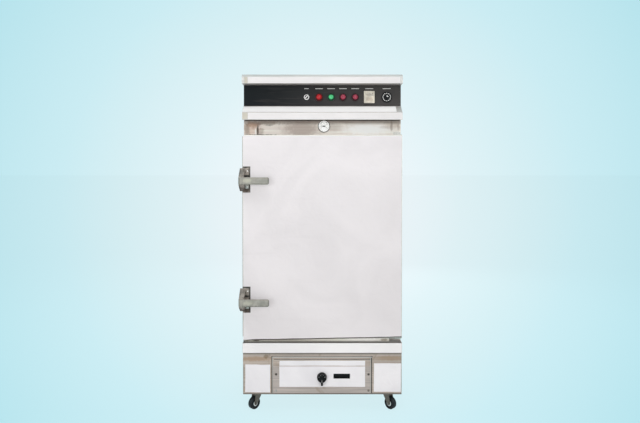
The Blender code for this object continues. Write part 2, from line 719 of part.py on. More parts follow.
def top_cap():
    """Lid with skirts over the side panels and a boxed overhang over the control panel."""
    side = HALF_WIDTH + GAP + SHEET
    back = BODY_DEPTH + GAP + SHEET
    line = [
        (DOOR_FRONT, CAP_BOTTOM),
        (DOOR_FRONT, BODY_TOP - CAP_CHAMFER),
        (DOOR_FRONT + CAP_CHAMFER, BODY_TOP),
        (back, BODY_TOP),
        (back, CAP_BOTTOM),
    ]
    shell = prism(line, "YZ", -side, side + side)
    inside = [
        (DOOR_FRONT + SHEET, CAP_BOTTOM + SHEET),
        (DOOR_FRONT + SHEET, BODY_TOP - CAP_CHAMFER - SHEET / 2),
        (DOOR_FRONT + CAP_CHAMFER + SHEET / 2, BODY_TOP - SHEET),
        (-GAP, BODY_TOP - SHEET),
        (-GAP, CAP_BOTTOM + SHEET),
    ]
    front_room = prism(inside, "YZ", -HALF_WIDTH, BODY_WIDTH)
    half = HALF_WIDTH + GAP
    body_room = block((-half, -GAP, CAP_BOTTOM - OVERRUN), (half, back - SHEET, BODY_TOP - SHEET))
    return fused(shell, cut=[fused(front_room, [body_room])])


def hood_ledge():
    """Sloping ledge under the control panel, with closed ends."""
    flange_foot = PANEL_BOTTOM - HOOD_BACK_FLANGE
    line = [
        (-GAP, flange_foot),
        (-GAP, PANEL_BOTTOM),
        (DOOR_FRONT, HOOD_EDGE),
        (DOOR_FRONT, HOOD_BOTTOM),
    ]
    half = HALF_WIDTH + HOOD_SIDE_LAP
    sheet = prism(folded(line, SHEET), "YZ", -half, half + half)
    left = prism(line, "YZ", -half, SHEET)
    right = prism(line, "YZ", half - SHEET, SHEET)
    return fused(sheet, [left, right])


def control_panel():
    """Black fascia pierced for the controls, with a shelf behind for the electrics."""
    reach = SIDE_INNER - GAP
    holes = [circle((SELECTOR_X, CONTROL_HEIGHT), SWITCH_NECK_RADIUS + GAP)]
    holes += [circle((x, CONTROL_HEIGHT), SWITCH_NECK_RADIUS + GAP) for x in LAMP_PLACES]
    holes.append(circle((TIMER_X, CONTROL_HEIGHT), KNOB_SHAFT_RADIUS + GAP))
    half = CONTROLLER_BODY / 2 + GAP
    low, high = CONTROL_HEIGHT - half, CONTROL_HEIGHT + half
    holes.append(rectangle(CONTROLLER_X - half, low, CONTROLLER_X + half, high))
    outline = rectangle(-HALF_WIDTH, PANEL_BOTTOM + GAP, HALF_WIDTH, CAP_BOTTOM + PANEL_TOP_LAP)
    face = prism(outline, "XZ", 0, FRAME_SHEET, holes)
    shelf = block((-reach, FRAME_SHEET / 2, PANEL_BOTTOM + GAP), (reach, SHELF_DEPTH, SHELF_TOP))
    return fused(face, [shelf])


def contactor_board():
    """Base plate on the shelf with the contactor, the terminal block and the timer's body."""
    floor = SHELF_TOP + GAP
    half = HALF_WIDTH - BOARD_SIDE_SPACE
    plate = block((-half, BOARD_FRONT, floor), (half, BOARD_FRONT + BOARD_LENGTH, floor + SHEET))
    sunk = floor + SHEET / 2
    contactor = block(
        (CONTACTOR_X - CONTACTOR_WIDTH / 2, CONTACTOR_Y, sunk),
        (CONTACTOR_X + CONTACTOR_WIDTH / 2, CONTACTOR_Y + CONTACTOR_LENGTH, floor + CONTACTOR_HEIGHT),
    )
    terminals = block(
        (TERMINAL_X - TERMINAL_WIDTH / 2, CONTACTOR_Y + TERMINAL_LENGTH, sunk),
        (TERMINAL_X + TERMINAL_WIDTH / 2, CONTACTOR_Y + TERMINAL_LENGTH * 2, floor + TERMINAL_HEIGHT),
    )
    timer_half = TIMER_BODY_WIDTH / 2
    front = FRAME_SHEET + GAP
    timer = block(
        (TIMER_X - timer_half, front, sunk),
        (TIMER_X + timer_half, front + TIMER_BODY_DEPTH, CONTROL_HEIGHT + timer_half),
    )
    bore = rod(
        (TIMER_X, 0, CONTROL_HEIGHT),
        (TIMER_X, KNOB_SHAFT_LENGTH + OVERRUN, CONTROL_HEIGHT),
        KNOB_SHAFT_RADIUS + GAP,
        SMALL_SIDES,
    )
    return fused(plate, [contactor, terminals, timer], [bore])


def selector_switch():
    """Switch body behind the panel with its ring in front and a bore for the knob."""
    bore = KNOB_SHAFT_RADIUS + GAP
    profile = [
        (0, -SWITCH_NECK_LENGTH),
        (SWITCH_NECK_RADIUS, -SWITCH_NECK_LENGTH),
        (SWITCH_NECK_RADIUS, GAP),
        (SELECTOR_RING_RADIUS, GAP),
        (SELECTOR_RING_RADIUS, BEZEL_HEIGHT - KNOB_BEVEL),
        (SELECTOR_RING_RADIUS - KNOB_BEVEL, BEZEL_HEIGHT),
        (bore, BEZEL_HEIGHT),
        (bore, -BEZEL_HEIGHT),
        (0, -BEZEL_HEIGHT),
    ]
    return turned(profile, (SELECTOR_X, 0, CONTROL_HEIGHT), (0, -1, 0))


def selector_knob():
    """Round knob with a raised pointer, turned to its right-hand stop."""
    start = BEZEL_HEIGHT + GAP
    face = start + BEZEL_HEIGHT
    profile = [
        (0, GAP - BEZEL_HEIGHT),
        (KNOB_SHAFT_RADIUS, GAP - BEZEL_HEIGHT),
        (KNOB_SHAFT_RADIUS, start),
        (SELECTOR_KNOB_RADIUS, start),
        (SELECTOR_KNOB_RADIUS, face - KNOB_BEVEL),
        (SELECTOR_KNOB_RADIUS - KNOB_BEVEL, face),
        (0, face),
    ]
    knob = turned(profile, (SELECTOR_X, 0, CONTROL_HEIGHT), (0, -1, 0))
    length = SELECTOR_KNOB_RADIUS - KNOB_BEVEL
    half = SELECTOR_POINTER_WIDTH / 2
    lean = math.radians(SELECTOR_REST_DEG)
    along = (math.sin(lean), math.cos(lean))
    across = (math.cos(lean), -math.sin(lean))
    outline = [
        (SELECTOR_X + u * across[0] + v * along[0], CONTROL_HEIGHT + u * across[1] + v * along[1])
        for u, v in ((-half, -length), (half, -length), (half, length), (-half, length))
    ]
    pointer = prism(outline, "XZ", -face - SELECTOR_POINTER_RAISE, SELECTOR_POINTER_RAISE + BEZEL_HEIGHT / 2)
    return fused(knob, [pointer])


def lamp(place, radius, lens_radius):
    """Pilot lamp: neck through the panel, bezel and domed lens."""
    dome = LAMP_LENS_HEIGHT - BEZEL_HEIGHT
    profile = [
        (0, -SWITCH_NECK_LENGTH),
        (SWITCH_NECK_RADIUS, -SWITCH_NECK_LENGTH),
        (SWITCH_NECK_RADIUS, GAP),
        (radius, GAP),
        (radius, BEZEL_HEIGHT - KNOB_BEVEL),
        (radius - KNOB_BEVEL, BEZEL_HEIGHT),
        (lens_radius, BEZEL_HEIGHT),
    ]
    for step in range(1, CORNER_STEPS):
        angle = step / CORNER_STEPS * math.pi / 2
        profile.append((lens_radius * math.cos(angle), BEZEL_HEIGHT + dome * math.sin(angle)))
    profile.append((0, LAMP_LENS_HEIGHT))
    return turned(profile, (place, 0, CONTROL_HEIGHT), (0, -1, 0))


def temperature_controller():
    """Square panel instrument with a sunk window and its case behind."""
    half_w = CONTROLLER_WIDTH / 2
    half_h = CONTROLLER_HEIGHT / 2
    x, z = CONTROLLER_X, CONTROL_HEIGHT
    front = block((x - half_w, -CONTROLLER_FRONT, z - half_h), (x + half_w, -GAP, z + half_h))
    half = CONTROLLER_BODY / 2
    case = block((x - half, -CONTROLLER_FRONT / 2, z - half), (x + half, CONTROLLER_DEPTH, z + half))
    half_w = CONTROLLER_WINDOW_WIDTH / 2
    half_h = CONTROLLER_WINDOW_HEIGHT / 2
    middle = z + CONTROLLER_WINDOW_RISE
    window = block(
        (x - half_w, -CONTROLLER_FRONT - OVERRUN, middle - half_h),
        (x + half_w, CONTROLLER_RECESS - CONTROLLER_FRONT, middle + half_h),
    )
    return fused(front, [case], [window])


def timer_knob():
    """Dial knob with a wide skirt, a grip and a shaft into the timer."""
    top = TIMER_SKIRT_HEIGHT + TIMER_GRIP_HEIGHT
    profile = [
        (0, -KNOB_SHAFT_LENGTH),
        (KNOB_SHAFT_RADIUS, -KNOB_SHAFT_LENGTH),
        (KNOB_SHAFT_RADIUS, GAP),
        (TIMER_SKIRT_RADIUS, GAP),
        (TIMER_SKIRT_RADIUS, TIMER_SKIRT_HEIGHT - KNOB_BEVEL),
        (TIMER_SKIRT_RADIUS - KNOB_BEVEL, TIMER_SKIRT_HEIGHT),
        (TIMER_GRIP_RADIUS, TIMER_SKIRT_HEIGHT),
        (TIMER_GRIP_RADIUS - KNOB_BEVEL, top - KNOB_BEVEL),
        (TIMER_GRIP_RADIUS - KNOB_BEVEL - KNOB_BEVEL, top),
        (0, top),
    ]
    return turned(profile, (TIMER_X, 0, CONTROL_HEIGHT), (0, -1, 0))


def thermometer_case():
    """Dial case, open at the front round its face, with a stem through the header."""
    inner = THERMOMETER_RADIUS - THERMOMETER_RIM
    face = THERMOMETER_DEPTH - THERMOMETER_RECESS
    spindle = NEEDLE_SPINDLE_RADIUS
    profile = [
        (0, -THERMOMETER_STEM_LENGTH),
        (THERMOMETER_STEM_RADIUS, -THERMOMETER_STEM_LENGTH),
        (THERMOMETER_STEM_RADIUS, GAP),
        (THERMOMETER_RADIUS, GAP),
        (THERMOMETER_RADIUS, THERMOMETER_DEPTH - THERMOMETER_RIM / 2),
        (THERMOMETER_RADIUS - THERMOMETER_RIM / 2, THERMOMETER_DEPTH),
        (inner, THERMOMETER_DEPTH),
        (inner, face),
        (spindle, face),
        (spindle, face + THERMOMETER_RECESS / 2),
        (0, face + THERMOMETER_RECESS / 2),
    ]
    return turned(profile, (THERMOMETER_X, 0, THERMOMETER_HEIGHT), (0, -1, 0))


def thermometer_needle():
    """Needle with a hub bored for the spindle, pointing left at rest."""
    x, z = THERMOMETER_X, THERMOMETER_HEIGHT
    back = -(THERMOMETER_DEPTH - THERMOMETER_RECESS) - GAP
    half = NEEDLE_WIDTH / 2
    lean = math.radians(NEEDLE_REST_DEG)
    tip = (-math.sin(lean), -math.cos(lean))
    across = (math.cos(lean), -math.sin(lean))
    outline = [
        (x + across[0] * side + tip[0] * reach, z + across[1] * side + tip[1] * reach)
        for side, reach in (
            (half, -NEEDLE_TAIL),
            (-half, -NEEDLE_TAIL),
            (-half / 2, NEEDLE_LENGTH),
            (half / 2, NEEDLE_LENGTH),
        )
    ]
    blade = prism(outline, "XZ", back - NEEDLE_THICKNESS, NEEDLE_THICKNESS)
    hub = rod((x, back, z), (x, back - THERMOMETER_RECESS / 2, z), NEEDLE_HUB_RADIUS, SMALL_SIDES)
    bore = rod((x, back + OVERRUN, z), (x, back - THERMOMETER_RECESS, z), NEEDLE_SPINDLE_RADIUS + GAP)
    return fused(blade, [hub], [bore])


def drip_gutter():
    """Trough under the door that catches condensate."""
    reach = HALF_WIDTH + HOOD_SIDE_LAP
    outer = block((-reach, DOOR_FRONT, GUTTER_BOTTOM), (reach, -GAP, GUTTER_TOP))
    hollow = block(
        (SHEET - reach, DOOR_FRONT + SHEET, GUTTER_BOTTOM + SHEET),
        (reach - SHEET, -GAP - SHEET, GUTTER_TOP + OVERRUN),
    )
    return fused(outer, cut=[hollow])


def base_front():
    """Front of the base with side returns, a top flange and a seat round the access opening."""
    top = GUTTER_BOTTOM - GAP
    inner = BASE_FRONT + FRAME_SHEET
    rail_top = CASTER_HEIGHT + COVER_BOTTOM_RAIL
    opening = rectangle(-COVER_HALF_WIDTH, rail_top, COVER_HALF_WIDTH, COVER_SEAM_HEIGHT)
    seat_half = COVER_HALF_WIDTH - COVER_SEAT
    seat_low = rail_top + COVER_SEAT
    seat_high = COVER_SEAM_HEIGHT - COVER_SEAT
    lap = COVER_HALF_WIDTH + COVER_SEAT
    outline = rectangle(-HALF_WIDTH, CASTER_HEIGHT, HALF_WIDTH, top)
    front = prism(outline, "XZ", BASE_FRONT, FRAME_SHEET, [opening])
    seat = prism(
        rectangle(-lap, CASTER_HEIGHT, lap, COVER_SEAM_HEIGHT + COVER_SEAT),
        "XZ",
        inner - SHEET / 2,
        SHEET,
        [rectangle(-seat_half, seat_low, seat_half, seat_high)],
    )
    sides = [
        block((-HALF_WIDTH, BASE_FRONT + SHEET, CASTER_HEIGHT), (-SIDE_INNER, FRAME_SHEET, top)),
        block((SIDE_INNER, BASE_FRONT + SHEET, CASTER_HEIGHT), (HALF_WIDTH, FRAME_SHEET, top)),
    ]
    flange = block((-HALF_WIDTH, BASE_FRONT + SHEET, top - SHEET), (HALF_WIDTH, FRAME_SHEET, top))
    groove_front = BASE_FRONT - OVERRUN
    groove_back = BASE_FRONT + SEAM_DEPTH
    grooves = [
        block(
            (-COVER_HALF_WIDTH - SEAM_GROOVE, groove_front, COVER_FRAME_TOP),
            (COVER_HALF_WIDTH + SEAM_GROOVE, groove_back, COVER_FRAME_TOP + SEAM_GROOVE),
        )
    ]
    for sign in (-1, 1):
        places = sorted((sign * COVER_HALF_WIDTH, sign * (COVER_HALF_WIDTH + SEAM_GROOVE)))
        grooves.append(
            block(
                (places[0], groove_front, COVER_SEAM_HEIGHT - SEAM_GROOVE),
                (places[1], groove_back, COVER_FRAME_TOP + SEAM_GROOVE / 2),
            )
        )
    return fused(front, [seat, *sides, flange], grooves)


def access_cover():
    """Removable cover with four screw heads, the knob's hole and the sight slot."""
    half = COVER_HALF_WIDTH - COVER_EDGE_GAP
    low = CASTER_HEIGHT + COVER_BOTTOM_RAIL + COVER_EDGE_GAP
    high = COVER_SEAM_HEIGHT - COVER_EDGE_GAP
    half_slot = SLOT_TALL / 2
    slot = rectangle(
        SLOT_LEFT, SLOT_HEIGHT - half_slot, SLOT_RIGHT, SLOT_HEIGHT + half_slot, (SLOT_CORNER,) * 4
    )
    hole = circle((GAS_KNOB_X, GAS_KNOB_HEIGHT), GAS_SHAFT_HOLE)
    thickness = FRAME_SHEET - SHEET / 2 - GAP
    sheet = prism(rectangle(-half, low, half, high), "XZ", BASE_FRONT, thickness, [slot, hole])
    profile = [
        (0, -SHEET / 2),
        (SCREW_HEAD_RADIUS, -SHEET / 2),
        (SCREW_HEAD_RADIUS, SCREW_HEAD_HEIGHT / 2),
        (SCREW_HEAD_RADIUS / 2, SCREW_HEAD_HEIGHT),
        (0, SCREW_HEAD_HEIGHT),
    ]
    heads = [
        turned(profile, (sign * SCREW_X, BASE_FRONT, height), (0, -1, 0), PIPE_SIDES)
        for sign in (-1, 1)
        for height in SCREW_HEIGHTS
    ]
    return fused(sheet, heads)


def gas_knob():
    """Valve knob with a raised grip, a pointer tab below and a shaft into the valve."""
    x, z = GAS_KNOB_X, GAS_KNOB_HEIGHT
    face = GAS_KNOB_LENGTH
    rim = GAS_KNOB_RADIUS - KNOB_BEVEL - KNOB_BEVEL
    profile = [
        (0, -GAS_SHAFT_REACH),
        (GAS_SHAFT_RADIUS, -GAS_SHAFT_REACH),
        (GAS_SHAFT_RADIUS, COVER_EDGE_GAP),
        (GAS_KNOB_RADIUS, COVER_EDGE_GAP),
        (GAS_KNOB_RADIUS, GAS_KNOB_TAB_THICKNESS),
        (rim, face),
        (0, face),
    ]
    knob = turned(profile, (x, BASE_FRONT, z), (0, -1, 0))
    half = GAS_KNOB_GRIP_WIDTH / 2
    grip = block(
        (x - half, BASE_FRONT - face - GAS_KNOB_GRIP_HEIGHT, z - rim),
        (x + half, BASE_FRONT - face + OVERRUN, z + rim),
    )
    tab = block(
        (x - half, BASE_FRONT - COVER_EDGE_GAP - GAS_KNOB_TAB_THICKNESS, z - GAS_KNOB_TAB_REACH),
        (x + half, BASE_FRONT - COVER_EDGE_GAP - GAP, z),
    )
    return fused(knob, [grip, tab])


def gas_burner():
    """Valve, gas pipes, round burner head and its post on the pan, joined as one casting."""
    x, z = GAS_KNOB_X, GAS_KNOB_HEIGHT
    valve_front = BASE_FRONT + FRAME_SHEET + SHEET
    valve_back = valve_front + GAS_VALVE_DEPTH
    half = GAS_VALVE_WIDTH / 2
    valve = block((x - half, valve_front, z - half), (x + half, valve_back, z + half))
    socket_end = (x, valve_front + GAS_SOCKET_DEPTH, z)
    socket = rod((x, valve_front - OVERRUN, z), socket_end, GAS_SHAFT_RADIUS + GAP, SMALL_SIDES)
    head_top = TANK_BOTTOM - BURNER_BELOW_TANK
    head_low = head_top - BURNER_THICKNESS
    centre = (GAS_KNOB_X, TANK_MIDDLE)
    slope = BURNER_THICKNESS / 4
    stem_foot = z - GAS_PIPE_RADIUS - SHEET
    head = turned(
        [
            (0, stem_foot),
            (BURNER_BOSS_RADIUS / 2, stem_foot),
            (BURNER_BOSS_RADIUS / 2, head_low),
            (BURNER_BOSS_RADIUS, head_low),
            (BURNER_RADIUS, head_low + slope),
            (BURNER_RADIUS, head_top - slope),
            (BURNER_RADIUS - slope, head_top),
            (0, head_top),
        ],
        (*centre, 0),
        (0, 0, 1),
    )
    feed = rod((x, valve_back - OVERRUN, z), (x, TANK_MIDDLE, z), GAS_PIPE_RADIUS)
    half = BURNER_POST / 2
    post_y = TANK_MIDDLE + BURNER_BOSS_RADIUS / 4
    line = [
        (post_y, head_low + slope),
        (post_y, PAN_SEAT),
        (AIR_FRONT + AIR_OPENING_LENGTH + BURNER_POST, PAN_SEAT),
    ]
    post = prism(folded(line, SHEET), "YZ", centre[0] - half, BURNER_POST)
    bend = GAS_PIPE_RADIUS + GAS_PIPE_RADIUS
    run_y = (valve_front + valve_back) / 2
    route = [(x - GAS_VALVE_WIDTH / 2 + OVERRUN, run_y, z)]
    turn_centre = (GAS_PIPE_X + bend, run_y + bend)
    for step in range(CORNER_STEPS + 1):
        angle = -math.pi / 2 - step / CORNER_STEPS * math.pi / 2
        route.append((turn_centre[0] + bend * math.cos(angle), turn_centre[1] + bend * math.sin(angle), z))
    route.append((GAS_PIPE_X, BODY_DEPTH, z))
    supply = swept(route, GAS_PIPE_RADIUS)
    inlet_end = (GAS_PIPE_X, BODY_DEPTH + GAS_INLET_REACH, z)
    inlet = rod((GAS_PIPE_X, BODY_DEPTH - GAP, z), inlet_end, GAS_INLET_RADIUS)
    return fused(valve, [feed, head, post, supply, inlet], [socket])


def water_tank():
    """Open tank hung under the cavity's floor, with holes for the element, drain and inlet."""
    half = TANK_HALF
    shell = block((-half, TANK_FRONT, TANK_BOTTOM), (half, TANK_BACK, TANK_TOP))
    rim = block(
        (-half - TANK_RIM, TANK_FRONT - TANK_RIM, TANK_TOP - SHEET),
        (half + TANK_RIM, TANK_BACK + TANK_RIM, TANK_TOP),
    )
    hollow = block(
        (SHEET - half, TANK_FRONT + SHEET, TANK_BOTTOM + SHEET),
        (half - SHEET, TANK_BACK - SHEET, TANK_TOP + OVERRUN),
    )
    holes = [hollow]
    for y in (ELEMENT_NEAR_Y, ELEMENT_NEAR_Y + ELEMENT_SPACING):
        start = (half - SHEET - OVERRUN, y, ELEMENT_Z)
        holes.append(rod(start, (half + OVERRUN, y, ELEMENT_Z), ELEMENT_RADIUS + GAP))
    for x, z, radius in ((DRAIN_X, DRAIN_Z, DRAIN_PIPE_RADIUS), (FLOAT_X, FLOAT_Z, FLOAT_PIPE_RADIUS)):
        start = (x, TANK_BACK - SHEET - OVERRUN, z)
        holes.append(rod(start, (x, TANK_BACK + OVERRUN, z), radius + GAP, SMALL_SIDES))
    return fused(shell, [rim], holes)


def heating_element():
    """Immersion element: one U bent tube on a flange outside the tank's right wall."""
    wall = TANK_HALF + GAP
    z = ELEMENT_Z
    bend = ELEMENT_SPACING / 2
    far = FLOAT_X + ELEMENT_FLOAT_SPACE + bend
    route = [(wall + ELEMENT_PLATE / 2, ELEMENT_NEAR_Y, z)]
    middle = ELEMENT_NEAR_Y + bend
    turn_steps = CORNER_STEPS * 2
    for step in range(turn_steps + 1):
        angle = -math.pi / 2 - step / turn_steps * math.pi
        route.append((far + bend * math.cos(angle), middle + bend * math.sin(angle), z))
    route.append((wall + ELEMENT_PLATE / 2, ELEMENT_NEAR_Y + ELEMENT_SPACING, z))
    tube = swept(route, ELEMENT_RADIUS)
    half = ELEMENT_PLATE_WIDTH / 2
    half_height = ELEMENT_PLATE_HEIGHT / 2
    plate_high = (wall + ELEMENT_PLATE, middle + half, z + half_height)
    plate = block((wall, middle - half, z - half_height), plate_high)
    box_low = (wall + ELEMENT_PLATE / 2, middle - half + SHEET, z - half_height + SHEET)
    box_high = (wall + ELEMENT_CAP, middle + half - SHEET, z + half_height - SHEET)
    return fused(plate, [tube, block(box_low, box_high)])


def drain_valve():
    """Drain pipe through the tank wall and the back panel, nut, valve body and stem boss."""
    start = TANK_BACK - SHEET - GAP
    collar = TANK_BACK + GAP
    nut = BODY_DEPTH + GAP
    end = nut + NUT_THICKNESS + DRAIN_BODY_LENGTH
    runs = (
        (start, end, DRAIN_PIPE_RADIUS, SMALL_SIDES),
        (collar, collar + NUT_THICKNESS, DRAIN_NUT_RADIUS, HEX_SIDES),
        (nut, nut + NUT_THICKNESS, DRAIN_NUT_RADIUS, HEX_SIDES),
        (nut + NUT_THICKNESS / 2, end - NUT_THICKNESS / 2, DRAIN_BODY_RADIUS, SMALL_SIDES),
        (start - OVERRUN, end + OVERRUN, DRAIN_BORE_RADIUS, SMALL_SIDES),
    )
    *shapes, bore = [rod((DRAIN_X, y, DRAIN_Z), (DRAIN_X, rear, DRAIN_Z), *size) for y, rear, *size in runs]
    axis = (DRAIN_X, DRAIN_STEM_Y)
    shapes.append(rod((*axis, DRAIN_Z), (*axis, DRAIN_BOSS_TOP), DRAIN_BOSS_RADIUS, SMALL_SIDES))
    hole_foot = (*axis, DRAIN_BOSS_TOP - DRAIN_STEM_REACH - GAP)
    stem_hole = rod(hole_foot, (*axis, DRAIN_BOSS_TOP + OVERRUN), DRAIN_STEM_RADIUS + GAP)
    return fused(shapes[0], shapes[1:], [bore, stem_hole])


def drain_lever():
    """Quarter turn lever, across the pipe when shut."""
    y, low = DRAIN_STEM_Y, DRAIN_BOSS_TOP + GAP
    half = DRAIN_LEVER_WIDTH / 2
    corners = (half - GAP, GAP, GAP, half - GAP)
    left, right = DRAIN_X - DRAIN_LEVER_LENGTH, DRAIN_X + DRAIN_BOSS_RADIUS
    outline = rectangle(left, y - half, right, y + half, corners)
    bar = prism(outline, "XY", low, THIN_PLATE)
    stem_foot = (DRAIN_X, y, DRAIN_BOSS_TOP - DRAIN_STEM_REACH)
    stem = rod(stem_foot, (DRAIN_X, y, low + THIN_PLATE + SHEET), DRAIN_STEM_RADIUS)
    return fused(bar, [stem])


def inlet_valve():
    """Feed pipe and nut at the back with a float valve body and two ears inside the tank."""
    wall = TANK_BACK - SHEET - GAP
    half = FLOAT_VALVE_WIDTH / 2
    body = block(
        (FLOAT_X - half, wall - FLOAT_VALVE_DEPTH, FLOAT_Z - half), (FLOAT_X + half, wall, FLOAT_Z + half)
    )
    end = BODY_DEPTH + GAP + FLOAT_INLET_REACH
    pipe = rod((FLOAT_X, wall - FLOAT_EAR_THICKNESS, FLOAT_Z), (FLOAT_X, end, FLOAT_Z), FLOAT_PIPE_RADIUS)
    nut_back = (FLOAT_X, BODY_DEPTH + GAP + NUT_THICKNESS, FLOAT_Z)
    nut = rod((FLOAT_X, BODY_DEPTH + GAP, FLOAT_Z), nut_back, FLOAT_NUT_RADIUS, HEX_SIDES)
    ears = []
    front = wall - FLOAT_VALVE_DEPTH - FLOAT_EAR_LENGTH
    back = wall - FLOAT_VALVE_DEPTH + OVERRUN
    for sign in (-1, 1):
        places = sorted((FLOAT_X + sign * half, FLOAT_X + sign * (half - FLOAT_EAR_THICKNESS)))
        ears.append(block((places[0], front, FLOAT_Z - half / 2), (places[1], back, FLOAT_Z + half / 2)))
    reach = half - SHEET
    pin = rod((FLOAT_X - reach, FLOAT_Y, FLOAT_Z), (FLOAT_X + reach, FLOAT_Y, FLOAT_Z), FLOAT_PIN_RADIUS)
    return fused(body, [pipe, nut, *ears, pin])


def float_arm():
    """Float ball on a rod that droops to its lower stop, with an eye on the valve's pin."""
    eye_half = FLOAT_VALVE_WIDTH / 2 - FLOAT_EAR_THICKNESS - EAR_PLAY
    left = (FLOAT_X - eye_half, FLOAT_Y, FLOAT_Z)
    eye = rod(left, (FLOAT_X + eye_half, FLOAT_Y, FLOAT_Z), FLOAT_EYE_RADIUS, SMALL_SIDES)
    droop = math.radians(FLOAT_DROOP_DEG)
    reach, fall = FLOAT_ROD_LENGTH * math.cos(droop), FLOAT_ROD_LENGTH * math.sin(droop)
    centre = (FLOAT_X, FLOAT_Y - reach, FLOAT_Z - fall)
    arm = rod((FLOAT_X, FLOAT_Y, FLOAT_Z), centre, FLOAT_ROD_RADIUS)
    steps = CORNER_STEPS + CORNER_STEPS
    profile = []
    for step in range(steps + 1):
        angle = step / steps * math.pi - math.pi / 2
        radius = 0 if step in (0, steps) else FLOAT_BALL_RADIUS * math.cos(angle)
        profile.append((radius, FLOAT_BALL_RADIUS * math.sin(angle)))
    ball = turned(profile, centre, (0, 0, 1), SMALL_SIDES)
    bore = rod(
        (FLOAT_X - eye_half - OVERRUN, FLOAT_Y, FLOAT_Z),
        (FLOAT_X + eye_half + OVERRUN, FLOAT_Y, FLOAT_Z),
        FLOAT_PIN_RADIUS + GAP,
    )
    return fused(eye, [arm, ball], [bore])


def steam_vent():
    """Vent tube from the cavity through the back, with a collar against the back panel."""
    start = CAVITY_BACK
    collar = BACK_PANEL_OUT + GAP - start
    bore = VENT_RADIUS - VENT_WALL
    profile = [
        (bore, 0),
        (VENT_RADIUS, 0),
        (VENT_RADIUS, collar),
        (VENT_COLLAR_RADIUS, collar),
        (VENT_COLLAR_RADIUS, collar + SHEET),
        (VENT_RADIUS, collar + SHEET),
        (VENT_RADIUS, collar + VENT_REACH),
        (bore, collar + VENT_REACH),
    ]
    return turned(profile, (0, start, VENT_Z), (0, 1, 0), ring=True)


def tray_rack(sign):
    """Side plate with one runner for each tray level."""
    wall = sign * RACK_WALL
    face = sign * (RACK_WALL - RUNNER_THICKNESS)
    edge = sign * RUNNER_EDGE
    outline = [(wall, OPENING_BOTTOM + GAP), (face, OPENING_BOTTOM + GAP)]
    for level in range(LEVEL_COUNT):
        top = FIRST_RIM + level * LEVEL_SPACING - TRAY_SHEET - GAP
        low = top - RUNNER_THICKNESS
        outline += [(face, low), (edge, low), (edge, top), (face, top)]
    outline += [(face, OPENING_TOP - GAP), (wall, OPENING_TOP - GAP)]
    return prism(outline, "XZ", RACK_FRONT, CAVITY_BACK - GAP - RACK_FRONT)


def tray(level):
    """Pressed tray with an outward rim that rides on the runners."""
    rim_top = FIRST_RIM + level * LEVEL_SPACING
    half, front, back = TRAY_HALF, TRAY_REST_FRONT, TRAY_BACK
    floor = rim_top - TRAY_HEIGHT
    rim = block((-half, front, rim_top - TRAY_SHEET), (half, back, rim_top))
    shells = []
    for shrink, low, high in (
        (0, floor, rim_top - TRAY_SHEET / 2),
        (TRAY_SHEET, floor + TRAY_SHEET, rim_top + OVERRUN),
    ):
        bm = bmesh.new()
        rings = []
        for height, taper in ((low, TRAY_TAPER), (high, 0)):
            edge = TRAY_RIM + taper + shrink
            corners = rectangle(edge - half, front + edge, half - edge, back - edge)
            rings.append([bm.verts.new((x, y, height)) for x, y in corners])
        for i in range(4):
            j = (i + 1) % 4
            bm.faces.new((rings[0][i], rings[0][j], rings[1][j], rings[1][i]))
        bm.faces.new(rings[0])
        bm.faces.new(rings[1])
        shells.append(mesh_of(bm))
    return fused(rim, [shells[0]], [shells[1]])


def hinge_leaf(top):
    """Pivot bracket on the front frame, with the pin that carries the door."""
    right = HALF_WIDTH - HINGE_END_MARGIN
    left = right - HINGE_LEAF_WIDTH
    turn = 1 if top else -1
    face = (DOOR_TOP if top else DOOR_BOTTOM) + turn * HINGE_PLAY
    leaf = sorted((face, face + turn * THIN_PLATE))
    wall = sorted((face, face + turn * HINGE_FLANGE))
    plate = block((left, -HINGE_LEAF_REACH, leaf[0]), (right, -GAP, leaf[1]))
    flange = block((left, -GAP - THIN_PLATE, wall[0]), (right, -GAP, wall[1]))
    pin = rod(
        (HINGE_X, HINGE_Y, face + turn * THIN_PLATE / 2),
        (HINGE_X, HINGE_Y, face - turn * HINGE_PIN_REACH),
        HINGE_PIN_RADIUS,
        SMALL_SIDES,
    )
    return fused(plate, [flange, pin])


def hinge_bores(depth):
    """Cutters for the door's pin holes, sunk to a depth from its top and bottom edges."""
    radius = HINGE_PIN_RADIUS + GAP
    ends = ((DOOR_TOP - depth, DOOR_TOP + OVERRUN), (DOOR_BOTTOM - OVERRUN, DOOR_BOTTOM + depth))
    return [rod((HINGE_X, HINGE_Y, low), (HINGE_X, HINGE_Y, high), radius, SMALL_SIDES) for low, high in ends]


def door_outline(inset):
    """Outline of the door drawn in by an inset, with the free edge's corners rounded."""
    half = HALF_WIDTH - inset
    fillet = DOOR_CORNER - inset
    return rectangle(-half, DOOR_BOTTOM + inset, half, DOOR_TOP - inset, (fillet, 0, 0, fillet))


def door_outer():
    """Outer skin of the door, a pan open towards the cavity."""
    pan = prism(door_outline(0), "XZ", DOOR_FRONT, DOOR_BACK - DOOR_FRONT)
    hollow = prism(door_outline(SHEET), "XZ", DOOR_FRONT + SHEET, DOOR_BACK - DOOR_FRONT)
    return fused(pan, cut=[hollow, *hinge_bores(SHEET + OVERRUN)])


def door_core():
    """Foam slab between the door's two skins, bored for the hinge pins."""
    outline = door_outline(SHEET + GAP)
    front = DOOR_FRONT + SHEET + GAP
    back = DOOR_BACK - SHEET - GAP
    return fused(prism(outline, "XZ", front, back - front), cut=hinge_bores(HINGE_PIN_REACH + SHEET))


def door_inner():
    """Inner skin of the door, let into the outer pan."""
    return prism(door_outline(SHEET + GAP), "XZ", DOOR_BACK - SHEET, SHEET)


